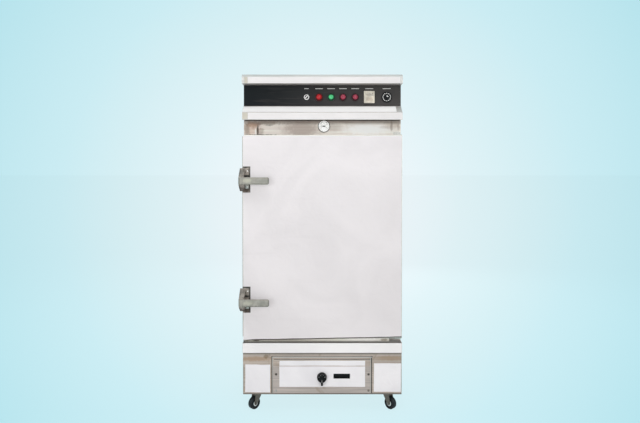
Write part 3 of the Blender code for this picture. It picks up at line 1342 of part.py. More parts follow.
def door_gasket():
    """Seal round the door opening: a square bead with a lip against the frame."""
    inner_half = OPENING_HALF + GASKET_STANDOFF
    low = OPENING_BOTTOM - GASKET_STANDOFF
    high = OPENING_TOP + GASKET_STANDOFF
    rims = []
    for back, inset in ((-GAP, GASKET_LIP), (-GAP - GASKET_LIP, 0)):
        width = GASKET_WIDTH - inset
        outline = rectangle(-inner_half - width, low - width, inner_half + width, high + width)
        hole = rectangle(-inner_half - inset, low - inset, inner_half + inset, high + inset)
        front = DOOR_BACK + GAP
        rims.append(prism(outline, "XZ", front, back - front, [hole]))
    return fused(rims[1], [rims[0]])


def latch_plate(height):
    """Latch bracket on the door: back plate, two gusseted ears and the lever's pin."""
    x, y, z = LATCH_X, LATCH_Y, height - LEVER_DROP
    plate_back = DOOR_FRONT - GAP
    plate_front = plate_back - THIN_PLATE
    half = LATCH_PLATE_HEIGHT / 2
    plate_high = (LATCH_PLATE_WIDTH - HALF_WIDTH, plate_back, height + half)
    plate = block((-HALF_WIDTH, plate_front, height - half), plate_high)
    ear_root = plate_back - SHEET
    ear_front = y - LEVER_HUB_RADIUS + EAR_THICKNESS
    ears = []
    for sign in (-1, 1):
        near = z + sign * (LEVER_HEIGHT / 2 + EAR_PLAY)
        outer = near + sign * EAR_THICKNESS
        tip = height + sign * (half - EAR_MARGIN)
        outline = [(ear_root, near), (ear_front, near), (ear_front, outer), (ear_root, tip)]
        left = x - EAR_HALF_WIDTH
        ears.append(prism(outline, "YZ", left, EAR_HALF_WIDTH + EAR_HALF_WIDTH))
    bite = LEVER_HEIGHT / 2 + EAR_PLAY + EAR_THICKNESS / 2
    pin = rod((x, y, z - bite), (x, y, z + bite), LATCH_PIN_RADIUS, SMALL_SIDES)
    return fused(plate, [*ears, pin])


def latch_lever(height):
    """Lever: hub with a cam nose, a flat arm along the door and a bore for the pin."""
    x, y, z = LATCH_X, LATCH_Y, height - LEVER_DROP
    half = LEVER_HEIGHT / 2
    hub = rod((x, y, z - half), (x, y, z + half), LEVER_HUB_RADIUS, KNOB_SIDES)
    cam = [(x, y)]
    for step in range(CORNER_STEPS + 1):
        angle = math.radians(CAM_START_DEG + step / CORNER_STEPS * (CAM_END_DEG - CAM_START_DEG))
        cam.append((x + CAM_RADIUS * math.cos(angle), y + CAM_RADIUS * math.sin(angle)))
    cam_half = STRIKE_HEIGHT / 2
    nose = prism(cam, "XY", z - cam_half, STRIKE_HEIGHT)
    outline = rectangle(x, z - half, x + LEVER_LENGTH, z + half, (0, LEVER_CORNER, LEVER_CORNER, 0))
    front = y - LEVER_HUB_RADIUS + KNOB_BEVEL
    arm = prism(outline, "XZ", front, LEVER_THICKNESS)
    reach = half + OVERRUN
    bore = rod((x, y, z - reach), (x, y, z + reach), LATCH_PIN_RADIUS + GAP, SMALL_SIDES)
    return fused(hub, [nose, arm], [bore])


def latch_strike(height):
    """Strike on the left side panel, reaching forward beside the door to the cam."""
    z = height - LEVER_DROP
    wall = -HALF_WIDTH - GAP
    out = wall - STRIKE_STANDOFF
    nose_front = LATCH_Y + CAM_RADIUS + STRIKE_CLEARANCE
    bend = nose_front + STRIKE_SHEET
    line = [
        (wall, STRIKE_FOOT_START + STRIKE_FOOT),
        (wall, STRIKE_FOOT_START),
        (out, STRIKE_FOOT_START - STRIKE_JOGGLE),
        (out, bend),
        (out - STRIKE_LIP, bend),
    ]
    return prism(folded(line, -STRIKE_SHEET), "XY", z - STRIKE_HEIGHT / 2, STRIKE_HEIGHT)


def chassis():
    """Base pan with an air opening, turned-up flanges and four caster seats."""
    reach = SIDE_INNER - GAP
    front = BASE_FRONT + FRAME_SHEET + SHEET
    back = BACK_PANEL_IN - GAP
    half = AIR_OPENING_WIDTH / 2
    air = rectangle(-half, AIR_FRONT, half, AIR_FRONT + AIR_OPENING_LENGTH)
    pan = prism(rectangle(-reach, front, reach, back), "XY", CASTER_HEIGHT, SHEET, [air])
    top = PAN_TOP + PAN_FLANGE
    parts = [
        block((-reach, front, CASTER_HEIGHT), (SHEET - reach, back, top)),
        block((reach - SHEET, front, CASTER_HEIGHT), (reach, back, top)),
    ]
    bores = []
    pad = CASTER_PAD / 2
    bore_top = RACE_BOTTOM + KINGPIN_RISE + GAP
    for name in CASTER_HEADINGS_DEG:
        x, y = caster_axis(name)
        parts.append(block((x - pad, y - pad, PAD_BOTTOM), (x + pad, y + pad, CASTER_HEIGHT + SHEET / 2)))
        parts.append(rod((x, y, RACE_BOTTOM), (x, y, PAD_BOTTOM + SHEET), RACE_RADIUS, SMALL_SIDES))
        bores.append(rod((x, y, RACE_BOTTOM - OVERRUN), (x, y, bore_top), KINGPIN_RADIUS + GAP, SMALL_SIDES))
    return fused(pan, parts, bores)


def caster_axis(name):
    """Where a caster swivels, by its name."""
    x = -CASTER_X if name.endswith("left") else CASTER_X
    y = CASTER_BACK_Y if name.startswith("rear") else CASTER_FRONT_Y
    return (x, y)


def wheel_centre(name):
    """Centre of a wheel; its fork trails in the caster's heading, in degrees from +X."""
    x, y = caster_axis(name)
    angle = math.radians(CASTER_HEADINGS_DEG[name])
    return (x + CASTER_TRAIL * math.cos(angle), y + CASTER_TRAIL * math.sin(angle), WHEEL_RADIUS)


def caster_fork(name):
    """Fork with its kingpin, two legs and the axle."""
    inner = WHEEL_WIDTH / 2 + FORK_SIDE_PLAY
    outer = inner + FORK_SHEET
    top = RACE_BOTTOM - GAP
    crown = block((-FORK_HALF_LENGTH, -outer, top - FORK_SHEET), (CASTER_TRAIL, outer, top))
    pin_top = RACE_BOTTOM + KINGPIN_RISE
    parts = [rod((0, 0, top - FORK_SHEET), (0, 0, pin_top), KINGPIN_RADIUS, SMALL_SIDES)]
    eye = circle((CASTER_TRAIL, WHEEL_RADIUS), FORK_EYE_RADIUS)
    leg = [(-FORK_HALF_LENGTH, top), (-FORK_HALF_LENGTH, top - FORK_SHEET)]
    leg += eye[len(eye) // 2 :] + eye[:1]
    leg += [(CASTER_TRAIL + FORK_EYE_RADIUS, WHEEL_RADIUS + FORK_EYE_RADIUS), (CASTER_TRAIL, top)]
    for start in (-outer, inner):
        parts.append(prism(leg, "XZ", start, FORK_SHEET))
    runs = (
        (-outer, outer, AXLE_RADIUS),
        (-outer - AXLE_HEAD, -outer + SHEET / 2, AXLE_HEAD_RADIUS),
        (outer, outer + AXLE_HEAD + SHEET / 2, AXLE_HEAD_RADIUS),
    )
    for low, high, radius in runs:
        parts.append(rod((CASTER_TRAIL, low, WHEEL_RADIUS), (CASTER_TRAIL, high, WHEEL_RADIUS), radius))
    return turned_to(fused(crown, parts), CASTER_HEADINGS_DEG[name], (*caster_axis(name), 0))


def caster_wheel(name):
    """Wheel with a rounded tread, dished faces and a bored hub."""
    half = WHEEL_WIDTH / 2
    rim = WHEEL_RADIUS - WHEEL_RIM
    bore = AXLE_RADIUS + GAP
    profile = [
        (bore, -half),
        (HUB_RADIUS, -half),
        (HUB_RADIUS, WHEEL_DISH - half),
        (rim, WHEEL_DISH - half),
        (rim, -half),
        (WHEEL_RADIUS - WHEEL_BEVEL, -half),
        (WHEEL_RADIUS, WHEEL_BEVEL - half),
        (WHEEL_RADIUS, half - WHEEL_BEVEL),
        (WHEEL_RADIUS - WHEEL_BEVEL, half),
        (rim, half),
        (rim, half - WHEEL_DISH),
        (HUB_RADIUS, half - WHEEL_DISH),
        (HUB_RADIUS, half),
        (bore, half),
    ]
    angle = math.radians(CASTER_HEADINGS_DEG[name])
    axle = (-math.sin(angle), math.cos(angle), 0)
    return turned(profile, wheel_centre(name), axle, WHEEL_SIDES, ring=True)


def turned_to(mesh, heading, place):
    """Turn a mesh drawn along +X to a heading and set it down at a place."""
    angle = math.radians(heading)
    for vertex in mesh.vertices:
        x, y, z = vertex.co
        vertex.co = (
            place[0] + x * math.cos(angle) - y * math.sin(angle),
            place[1] + x * math.sin(angle) + y * math.cos(angle),
            place[2] + z,
        )
    return mesh


def add_body(cabinet):
    """Add the fixed pieces of the cabinet."""
    add_piece("left_side_panel", side_panel(-1), STEEL, cabinet)
    add_piece("right_side_panel", side_panel(1), STEEL, cabinet)
    add_piece("back_panel", back_panel(), STEEL, cabinet)
    add_piece("face_frame", face_frame(), STEEL, cabinet)
    add_piece("inner_liner", inner_liner(), STEEL, cabinet)
    add_piece("insulation_jacket", insulation_jacket(), ROCK_WOOL, cabinet)
    add_piece("top_cap", top_cap(), FILM_WHITE, cabinet)
    add_piece("hood_ledge", hood_ledge(), FILM_WHITE, cabinet)
    add_piece("drip_gutter", drip_gutter(), FILM_WHITE, cabinet)
    add_piece("base_front", base_front(), STEEL, cabinet)
    add_piece("access_cover", access_cover(), STEEL, cabinet)
    add_piece("chassis", chassis(), STEEL, cabinet)
    add_piece("left_tray_rack", tray_rack(-1), BRIGHT_STEEL, cabinet)
    add_piece("right_tray_rack", tray_rack(1), BRIGHT_STEEL, cabinet)
    add_piece("steam_vent", steam_vent(), BRIGHT_STEEL, cabinet)
    add_piece("water_tank", water_tank(), BRIGHT_STEEL, cabinet)
    add_piece("heating_element", heating_element(), DARK_STEEL, cabinet)
    add_piece("gas_burner", gas_burner(), CAST_IRON, cabinet)
    add_piece("drain_valve", drain_valve(), BRASS, cabinet)
    add_piece("inlet_valve", inlet_valve(), BRASS, cabinet)
    add_piece("top_hinge", hinge_leaf(True), BRIGHT_STEEL, cabinet)
    add_piece("bottom_hinge", hinge_leaf(False), BRIGHT_STEEL, cabinet)
    for name, height in zip(LATCH_NAMES, LATCH_HEIGHTS):
        add_piece(name + "_latch_strike", latch_strike(height), DARK_STEEL, cabinet)


def add_controls(cabinet):
    """Add the fascia with its lamps, switches and dial, and the electrics behind."""
    add_piece("control_panel", control_panel(), BLACK_PANEL, cabinet)
    add_piece("contactor_board", contactor_board(), CREAM_PLASTIC, cabinet)
    add_piece("selector_switch", selector_switch(), WHITE_ENAMEL, cabinet)
    add_piece("temperature_controller", temperature_controller(), CREAM_PLASTIC, cabinet)
    for name, place, radius, lens, look in zip(
        LAMP_NAMES, LAMP_PLACES, LAMP_RADII, LAMP_LENS_RADII, LAMP_FINISHES
    ):
        add_piece(name, lamp(place, radius, lens), look, cabinet)
    add_piece("thermometer_case", thermometer_case(), WHITE_ENAMEL, cabinet)
    add_piece("selector_knob", selector_knob(), BLACK_PLASTIC, cabinet, (SELECTOR_X, 0, CONTROL_HEIGHT))
    add_piece("timer_knob", timer_knob(), BLACK_PLASTIC, cabinet, (TIMER_X, 0, CONTROL_HEIGHT))
    add_piece("gas_knob", gas_knob(), BLACK_PLASTIC, cabinet, (GAS_KNOB_X, BASE_FRONT, GAS_KNOB_HEIGHT))
    needle_pivot = (THERMOMETER_X, 0, THERMOMETER_HEIGHT)
    add_piece("thermometer_needle", thermometer_needle(), BLACK_PLASTIC, cabinet, needle_pivot)
    add_piece("drain_lever", drain_lever(), LATCH_METAL, cabinet, (DRAIN_X, DRAIN_STEM_Y, DRAIN_BOSS_TOP))
    add_piece("float_arm", float_arm(), BRASS, cabinet, (FLOAT_X, FLOAT_Y, FLOAT_Z))


def add_door(cabinet):
    """Add the door on its hinge axis, with its latches."""
    axis = (HINGE_X, HINGE_Y, DOOR_BOTTOM)
    door = anchor("door_axis", axis, cabinet)
    add_piece("door_outer", door_outer(), FILM_WHITE, door, axis)
    add_piece("door_core", door_core(), FOAM, door, axis)
    add_piece("door_inner", door_inner(), STEEL, door, axis)
    add_piece("door_gasket", door_gasket(), SILICONE, door, axis)
    for name, height in zip(LATCH_NAMES, LATCH_HEIGHTS):
        pin = (LATCH_X, LATCH_Y, height - LEVER_DROP)
        add_piece(name + "_latch_plate", latch_plate(height), DARK_STEEL, door, axis)
        add_piece(name + "_latch_lever", latch_lever(height), LATCH_METAL, door, pin)


def add_trays(cabinet):
    """Add the trays that are carried as separate pieces."""
    for number, level in enumerate(FILLED_LEVELS, start=1):
        rest = (0, TRAY_REST_FRONT, FIRST_RIM + level * LEVEL_SPACING)
        add_piece(f"tray_{number}", tray(level), BRIGHT_STEEL, cabinet, rest)


def add_casters(cabinet):
    """Add four swivel casters, each wheel on its own fork."""
    for name in CASTER_HEADINGS_DEG:
        swivel = (*caster_axis(name), 0)
        carrier = anchor(name + "_swivel", swivel, cabinet)
        add_piece(name + "_caster_fork", caster_fork(name), BRIGHT_STEEL, carrier, swivel)
        add_piece(name + "_caster_wheel", caster_wheel(name), RUBBER, carrier, wheel_centre(name))


def centre_on_floor(cabinet):
    """Move the cabinet's empty so that the box round every solid is centred over the origin."""
    bpy.context.view_layer.update()
    corners = [
        item.matrix_world @ vertex.co
        for item in bpy.context.scene.objects
        if item.type == "MESH"
        for vertex in item.data.vertices
    ]
    for axis in (0, 1):
        places = [corner[axis] for corner in corners]
        cabinet.location[axis] -= (min(places) + max(places)) / 2


def main():
    """Clear the scene and build the cabinet."""
    for item in list(bpy.data.objects):
        bpy.data.objects.remove(item, do_unlink=True)
    cabinet = anchor("cabinet", (0, 0, 0), None)
    add_body(cabinet)
    add_controls(cabinet)
    add_door(cabinet)
    add_trays(cabinet)
    add_casters(cabinet)
    centre_on_floor(cabinet)


main()
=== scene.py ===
"""The looks of a rice steamer cabinet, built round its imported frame.

Lengths are metres. Places are given from the middle of the cabinet's front
frame at floor level: x to the right, y to the back, z up.
"""

from __future__ import annotations

import json
import logging
import math
from collections.abc import Sequence
from dataclasses import dataclass, field
from enum import Enum

import bmesh
import bpy
from mathutils import Matrix, Vector, noise

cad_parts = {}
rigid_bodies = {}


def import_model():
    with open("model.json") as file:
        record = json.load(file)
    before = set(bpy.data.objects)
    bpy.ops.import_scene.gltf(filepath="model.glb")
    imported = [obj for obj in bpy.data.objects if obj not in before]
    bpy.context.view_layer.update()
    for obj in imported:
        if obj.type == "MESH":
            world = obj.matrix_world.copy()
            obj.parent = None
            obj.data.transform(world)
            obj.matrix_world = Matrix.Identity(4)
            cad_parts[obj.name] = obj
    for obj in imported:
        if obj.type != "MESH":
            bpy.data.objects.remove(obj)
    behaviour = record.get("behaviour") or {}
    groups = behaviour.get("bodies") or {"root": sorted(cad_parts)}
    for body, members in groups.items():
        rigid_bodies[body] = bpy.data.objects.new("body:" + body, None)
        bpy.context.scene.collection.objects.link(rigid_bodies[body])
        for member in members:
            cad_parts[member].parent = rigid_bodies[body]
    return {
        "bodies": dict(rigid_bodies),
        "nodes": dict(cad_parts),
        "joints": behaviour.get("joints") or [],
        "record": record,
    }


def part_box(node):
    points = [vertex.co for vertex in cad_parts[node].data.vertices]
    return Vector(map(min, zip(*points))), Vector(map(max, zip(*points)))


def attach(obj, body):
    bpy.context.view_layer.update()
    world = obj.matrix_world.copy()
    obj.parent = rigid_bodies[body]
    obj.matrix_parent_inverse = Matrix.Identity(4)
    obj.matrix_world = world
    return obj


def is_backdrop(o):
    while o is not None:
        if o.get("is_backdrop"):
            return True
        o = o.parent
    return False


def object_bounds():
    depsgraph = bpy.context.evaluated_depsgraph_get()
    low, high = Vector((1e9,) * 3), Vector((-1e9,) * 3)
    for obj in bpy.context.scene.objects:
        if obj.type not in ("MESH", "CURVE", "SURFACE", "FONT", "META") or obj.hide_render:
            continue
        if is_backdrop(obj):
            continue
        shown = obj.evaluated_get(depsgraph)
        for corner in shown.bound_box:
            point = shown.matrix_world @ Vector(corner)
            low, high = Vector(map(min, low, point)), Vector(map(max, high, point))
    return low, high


LOG = logging.getLogger("steamer")

Point = tuple[float, float, float]
Colour = tuple[float, float, float]
Outline = Sequence[tuple[float, float]]
Shape = bmesh.types.BMesh
Socket = bpy.types.NodeSocket

CABINET = "cabinet"
DOOR = "door"
# The gap between a small piece and the face that it stands on.
HAIR = 0.0001
# An edge that turns by more than this stays sharp.
SHARP_EDGE = math.radians(32.0)


def linear(red: int, green: int, blue: int) -> Colour:
    """Turns a colour as it shows on a screen into the shader's own numbers.

    Args:
        red: the red part, from 0 to 255.
        green: the green part.
        blue: the blue part.

    Returns:
        The colour's three parts, from 0 to 1.
    """
    return tuple(
        v / 12.92 if v <= 0.04045 else ((v + 0.055) / 1.055) ** 2.4
        for v in (red / 255, green / 255, blue / 255)
    )


def shade(colour: Colour, factor: float, lift: float = 0.0, most: float = 1.0) -> Colour:
    """Makes a colour lighter or darker.

    Args:
        colour: the colour to start from.
        factor: what each of its parts is multiplied by.
        lift: what is added to each part.
        most: the highest value that a part may have.

    Returns:
        The new colour.
    """
    return tuple(min(most, c * factor + lift) for c in colour)


class Grain(Enum):
    """The way the brush marks run on a sheet; the numbers are how often they repeat per metre."""

    ALONG_X = (5.0, 260.0, 260.0)
    ALONG_Z = (260.0, 260.0, 5.0)
    NONE = (60.0, 60.0, 60.0)


class Facing(Enum):
    """The side of the cabinet that a small piece looks to: its turns about x and y from looking up."""

    FRONT = (math.pi / 2, 0.0)
    BACK = (-math.pi / 2, 0.0)
    LEFT = (0.0, -math.pi / 2)
    RIGHT = (0.0, math.pi / 2)

    def turn(self) -> Matrix:
        """The turn as a matrix."""
        about_x, about_y = self.value
        return Matrix.Rotation(about_y, 4, "Y") @ Matrix.Rotation(about_x, 4, "X")


class Slot(Enum):
    """The record's material slots' names, passed along with the added pieces."""

    FILM = "filmed_sheet"
    SHEET = "stainless_sheet"
    BRIGHT = "bright_steel"
    DARK = "dark_steel"
    RUBBER = "silicone"
    WHITE = "white_enamel"
    CREAM = "cream_plastic"
    BLACK = "black_plastic"
    RED = "red_lens"
    GREEN = "green_lens"
    CRIMSON = "dark_red_lens"


class Tree:
    """A node tree, with short calls for adding nodes and feeding their sockets."""

    def __init__(self, tree: bpy.types.NodeTree) -> None:
        """Empties the tree and keeps it."""
        self.tree = tree
        self.tree.nodes.clear()

    def add(self, kind: str, **settings: object) -> bpy.types.Node:
        """Adds one node.

        Args:
            kind: the node's type.
            settings: its plain settings by name.

        Returns:
            The node.
        """
        node = self.tree.nodes.new(kind)
        for key, value in settings.items():
            setattr(node, key, value)
        return node

    def feed(self, socket: Socket, value: object) -> None:
        """Feeds an input.

        Args:
            socket: the input.
            value: another node's output to link it to, or the input's own value.
        """
        if isinstance(value, bpy.types.NodeSocket):
            self.tree.links.new(value, socket)
        elif isinstance(value, tuple) and len(value) == 3 and len(socket.default_value) == 4:
            socket.default_value = (*value, 1.0)
        else:
            socket.default_value = value

    def maths(self, operation: str, first: object, second: object = 0.0, clamp: bool = False) -> Socket:
        """Works out one sum.

        Args:
            operation: which sum.
            first: its first number or output.
            second: its second one.
            clamp: whether the result is held between 0 and 1.

        Returns:
            The output of the result.
        """
        node = self.add("ShaderNodeMath", operation=operation, use_clamp=clamp)
        self.feed(node.inputs[0], first)
        self.feed(node.inputs[1], second)
        return node.outputs[0]

    def vectors(self, operation: str, first: object, second: object = None) -> bpy.types.NodeOutputs:
        """Works out one sum of vectors.

        Args:
            operation: which sum.
            first: its first vector or output.
            second: its second one, if it has one.

        Returns:
            The node's outputs: the vector and the plain value.
        """
        node = self.add("ShaderNodeVectorMath", operation=operation)
        self.feed(node.inputs[0], first)
        if second is not None:
            self.feed(node.inputs[1], second)
        return node.outputs

    def blend(self, share: object, first: object, second: object) -> Socket:
        """Mixes two colours.

        Args:
            share: how much of the second colour there is, from 0 to 1.
            first: the first colour or output.
            second: the second one.

        Returns:
            The mixed colour's output.
        """
        node = self.add("ShaderNodeMix", data_type="RGBA", blend_type="MIX", clamp_factor=True)
        self.feed(node.inputs[0], share)
        self.feed(node.inputs[6], first)
        self.feed(node.inputs[7], second)
        return node.outputs[2]

    def mixed(self, share: Socket, first: bpy.types.Node, second: bpy.types.Node) -> Socket:
        """Mixes two shaders.

        Args:
            share: how much of the second shader there is.
            first: the first shader.
            second: the second one.

        Returns:
            The mixed shader's output.
        """
        node = self.add("ShaderNodeMixShader")
        self.feed(node.inputs[0], share)
        self.tree.links.new(first.outputs[0], node.inputs[1])
        self.tree.links.new(second.outputs[0], node.inputs[2])
        return node.outputs[0]


class Graph(Tree):
    """A material's node tree, with short calls for the patterns that the finishes share."""

    def __init__(self, name: str) -> None:
        """Starts a material with one plain shader.

        Args:
            name: the material's name.
        """
        self.material = bpy.data.materials.new(name)
        self.material.use_nodes = True
        self.material.cycles.emission_sampling = "NONE"
        super().__init__(self.material.node_tree)
        output = self.add("ShaderNodeOutputMaterial")
        self.shader = self.add("ShaderNodeBsdfPrincipled")
        self.tree.links.new(self.shader.outputs[0], output.inputs["Surface"])
        self.place = self.add("ShaderNodeTexCoord").outputs["Object"]

    def finish(self, **inputs: object) -> bpy.types.Material:
        """Feeds the shader's inputs.

        Args:
            inputs: what each input gets; an underscore in its name stands for a space.

        Returns:
            The material.
        """
        for key, value in inputs.items():
            self.feed(self.shader.inputs[key.replace("_", " ")], value)
        return self.material

    def stretched(self, scale: Point) -> Socket:
        """Scales the piece's own coordinates.

        Args:
            scale: how much longer each axis gets.

        Returns:
            The scaled coordinates' output.
        """
        node = self.add("ShaderNodeMapping")
        self.feed(node.inputs["Vector"], self.place)
        node.inputs["Scale"].default_value = scale
        return node.outputs["Vector"]

    def noise(
        self,
        scale: float,
        detail: float = 3.0,
        where: Socket | None = None,
        distortion: float = 0.0,
        rough: float = 0.5,
    ) -> Socket:
        """Makes cloudy noise.

        Args:
            scale: how often it repeats per metre.
            detail: how many finer layers it has.
            where: the coordinates, if they aren't the piece's own.
            distortion: how much it swirls.
            rough: how strong the finer layers are.

        Returns:
            The noise's output, from 0 to 1.
        """
        node = self.add("ShaderNodeTexNoise")
        self.feed(node.inputs["Vector"], self.place if where is None else where)
        node.inputs["Scale"].default_value = scale
        node.inputs["Detail"].default_value = detail
        node.inputs["Roughness"].default_value = rough
        node.inputs["Distortion"].default_value = distortion
        return node.outputs["Fac"]

    def cells(self, scale: float, feature: str = "F1", where: Socket | None = None) -> Socket:
        """Makes a pattern of random cells.

        Args:
            scale: how many cells a metre has.
            feature: which distance is measured.
            where: the coordinates, if they aren't the piece's own.

        Returns:
            The output of the distance to the nearest cell's middle.
        """
        node = self.add("ShaderNodeTexVoronoi", feature=feature)
        self.feed(node.inputs["Vector"], self.place if where is None else where)
        node.inputs["Scale"].default_value = scale
        return node.outputs["Distance"]

    def spread(
        self, value: Socket, low: float, high: float, to_low: float = 0.0, to_high: float = 1.0
    ) -> Socket:
        """Carries one range of numbers over to another with soft ends.

        Args:
            value: the output to carry over.
            low: where its range starts.
            high: where its range ends.
            to_low: what the start becomes.
            to_high: what the end becomes.

        Returns:
            The result's output.
        """
        node = self.add("ShaderNodeMapRange", interpolation_type="SMOOTHSTEP")
        self.feed(node.inputs["Value"], value)
        for key, number in zip(("From Min", "From Max", "To Min", "To Max"), (low, high, to_low, to_high)):
            node.inputs[key].default_value = number
        return node.outputs["Result"]

    def bump(
        self, height: Socket, depth: float, strength: float = 1.0, below: Socket | None = None
    ) -> Socket:
        """Bumps the surface.

        Args:
            height: the output of the bumps' height.
            depth: the height of a bump in metres.
            strength: how much of it shows.
            below: the normal of coarser bumps, if there are any.

        Returns:
            The bumped normal's output.
        """
        node = self.add("ShaderNodeBump")
        self.feed(node.inputs["Height"], height)
        node.inputs["Distance"].default_value = depth
        node.inputs["Strength"].default_value = strength
        if below is not None:
            self.feed(node.inputs["Normal"], below)
        return node.outputs["Normal"]

    def edge(self, radius: float) -> Socket:
        """Finds the piece's sharp edges.

        Args:
            radius: how far from an edge it still counts.

        Returns:
            An output that is 1 along the edges and 0 on the flats.
        """
        bevel = self.add("ShaderNodeBevel", samples=4)
        bevel.inputs["Radius"].default_value = radius
        real = self.add("ShaderNodeNewGeometry")
        alike = self.vectors("DOT_PRODUCT", bevel.outputs["Normal"], real.outputs["Normal"])
        return self.spread(alike["Value"], 0.97, 0.80)

    def patch(self, spot: Spot) -> Socket:
        """Makes a soft-edged patch at a fixed place.

        Args:
            spot: the patch.

        Returns:
            An output that is the patch's strength inside it and 0 outside.
        """
        away = self.vectors("SUBTRACT", self.place, Datum.at((spot.x, spot.y, spot.z)))
        shrink = (1 / spot.half_width, 1 / spot.half_depth, 1 / spot.half_height)
        sized = self.vectors("MULTIPLY", away[0], shrink)
        length = self.vectors("LENGTH", sized[0])["Value"]
        wander = self.maths("SUBTRACT", self.noise(75.0, 5.0, rough=0.65), 0.5)
        reach = self.maths("ADD", length, self.maths("MULTIPLY", wander, spot.ragged))
        return self.spread(reach, 1.25, 0.35, 0.0, spot.strength)


@dataclass(frozen=True)
class Spot:
    """A patch of colour at a fixed place on a sheet; some are stains, others painted shadows and painted
    highlights.
    """

    x: float
    z: float
    half_width: float
    half_height: float
    strength: float = 0.7
    y: float = 0.0
    half_depth: float = 0.05
    colour: Colour = (0.21, 0.12, 0.06)
    ragged: float = 1.9


@dataclass(frozen=True)
class SteelFinish:
    """Stainless sheet with brush marks, cloudy smears, water stains, worn edges and fixed patches, some of
    them painted shade and painted highlight.
    """

    name: str
    colour: Colour
    grain: Grain = Grain.ALONG_X
    roughness: float = 0.40
    metallic: float = 0.72
    grain_share: float = 0.5
    stain: Colour = (0.30, 0.20, 0.12)
    stain_share: float = 0.25
    stain_scale: float = 7.0
    dent: float = 0.0006
    brush_depth: float = 0.00012
    worn_width: float = 0.0022
    spots: tuple[Spot, ...] = ()

    def make(self) -> bpy.types.Material:
        """Builds the material.

        Returns:
            The material.
        """
        g = Graph(self.name)
        along = g.stretched(self.grain.value)
        broad = g.stretched(tuple(v * 0.4 for v in self.grain.value))
        lines = g.noise(1.0, 4.0, along)
        bands = g.noise(1.0, 3.0, broad)
        clouds = g.noise(9.0, 6.0, distortion=0.6)
        dark = shade(self.colour, 1 - 0.42 * self.grain_share)
        pale = shade(self.colour, 1 + 0.30 * self.grain_share)
        streaks = g.maths("ADD", g.maths("MULTIPLY", lines, 0.6), g.maths("MULTIPLY", bands, 0.4))
        tone = g.blend(g.spread(streaks, 0.32, 0.68), dark, pale)
        smear = g.spread(clouds, 0.42, 0.70)
        tone = g.blend(g.maths("MULTIPLY", smear, 0.22), tone, shade(self.colour, 0.72))
        marks = g.spread(g.noise(self.stain_scale, 8.0, distortion=1.2, rough=0.62), 0.56, 0.74)
        share = g.maths("MULTIPLY", marks, self.stain_share)
        tone = g.blend(share, tone, self.stain)
        # Fixed patches: stains, painted shadows and painted highlights.
        for spot in self.spots:
            tone = g.blend(g.patch(spot), tone, spot.colour)
        tone = g.blend(g.maths("MULTIPLY", g.edge(self.worn_width), 0.35), tone, pale)
        dry = g.spread(lines, 0.2, 0.8, self.roughness - 0.07, self.roughness + 0.09)
        rough = g.maths("ADD", dry, g.maths("MULTIPLY", share, 0.35), clamp=True)
        normal = g.bump(clouds, self.dent, 0.5)
        normal = g.bump(lines, self.brush_depth, 0.35, normal)
        return g.finish(Base_Color=tone, Metallic=self.metallic, Roughness=rough, Normal=normal)


@dataclass(frozen=True)
class FilmFinish:
    """White protective plastic film left on the sheets: hazy, faintly creased, with bubbles and dust."""

    name: str
    colour: Colour
    crease: float = 0.0005
    haze: float = 0.06
    roughness: float = 0.36
    dust: Colour = (0.30, 0.28, 0.25)
    soiled_width: float = 0.0025

    def make(self) -> bpy.types.Material:
        """Builds the material.

        Returns:
            The material.
        """
        g = Graph(self.name)
        clouds = g.noise(3.2, 5.0, distortion=0.8)
        drawn = g.noise(1.0, 5.0, g.stretched((4.0, 40.0, 55.0)))
        tone = g.blend(
            g.spread(clouds, 0.3, 0.7), shade(self.colour, 1 - self.haze),
            shade(self.colour, 1 + self.haze * 0.5, most=0.93)
        )
        tone = g.blend(g.spread(drawn, 0.58, 0.75, 0.0, 0.10), tone, shade(self.colour, 0.80))
        specks = g.spread(g.cells(70.0), 0.055, 0.02)
        places = g.spread(g.noise(24.0, 2.0), 0.52, 0.60)
        tone = g.blend(g.maths("MULTIPLY", g.maths("MULTIPLY", specks, places), 0.35), tone, self.dust)
        tone = g.blend(g.maths("MULTIPLY", g.edge(self.soiled_width), 0.30), tone, shade(self.colour, 0.62))
        bubbles = g.spread(g.cells(38.0, "SMOOTH_F1"), 0.34, 0.10)
        crests = g.spread(g.noise(14.0, 3.0, distortion=2.2), 0.46, 0.54)
        normal = g.bump(clouds, self.crease * 4, 0.6)
        normal = g.bump(crests, self.crease, 0.35, normal)
        normal = g.bump(bubbles, self.crease * 0.6, 0.25, normal)
        rough = g.spread(drawn, 0.3, 0.7, self.roughness - 0.08, self.roughness + 0.12)
        return g.finish(Base_Color=tone, Roughness=rough, Normal=normal, Specular_IOR_Level=0.30)


@dataclass(frozen=True)
class PaintFinish:
    """Satin black paint with orange peel, wipe marks and dust; it greys towards the right."""

    name: str
    left: Colour
    right: Colour
    roughness: float = 0.42
    dust: Colour = (0.22, 0.21, 0.20)
    worn: Colour = (0.20, 0.20, 0.21)
    worn_width: float = 0.0016
    peel: float = 0.00008

    def make(self) -> bpy.types.Material:
        """Builds the material.

        Returns:
            The material.
        """
        g = Graph(self.name)
        across = g.add("ShaderNodeSeparateXYZ")
        g.feed(across.inputs[0], g.place)
        tone = g.blend(g.spread(across.outputs["X"], -0.33, 0.34), self.left, self.right)
        wipes = g.noise(1.0, 5.0, g.stretched((7.0, 60.0, 70.0)), distortion=0.8)
        tone = g.blend(g.spread(wipes, 0.5, 0.78, 0.0, 0.28), tone, shade(self.right, 1.9))
        specks = g.spread(g.cells(210.0), 0.10, 0.03, 0.0, 0.30)
        tone = g.blend(specks, tone, self.dust)
        tone = g.blend(g.maths("MULTIPLY", g.edge(self.worn_width), 0.5), tone, self.worn)
        rough = g.spread(wipes, 0.3, 0.75, self.roughness - 0.06, self.roughness + 0.16)
        normal = g.bump(g.noise(900.0, 2.0), self.peel, 0.5)
        return g.finish(Base_Color=tone, Roughness=rough, Normal=normal, Specular_IOR_Level=0.15)


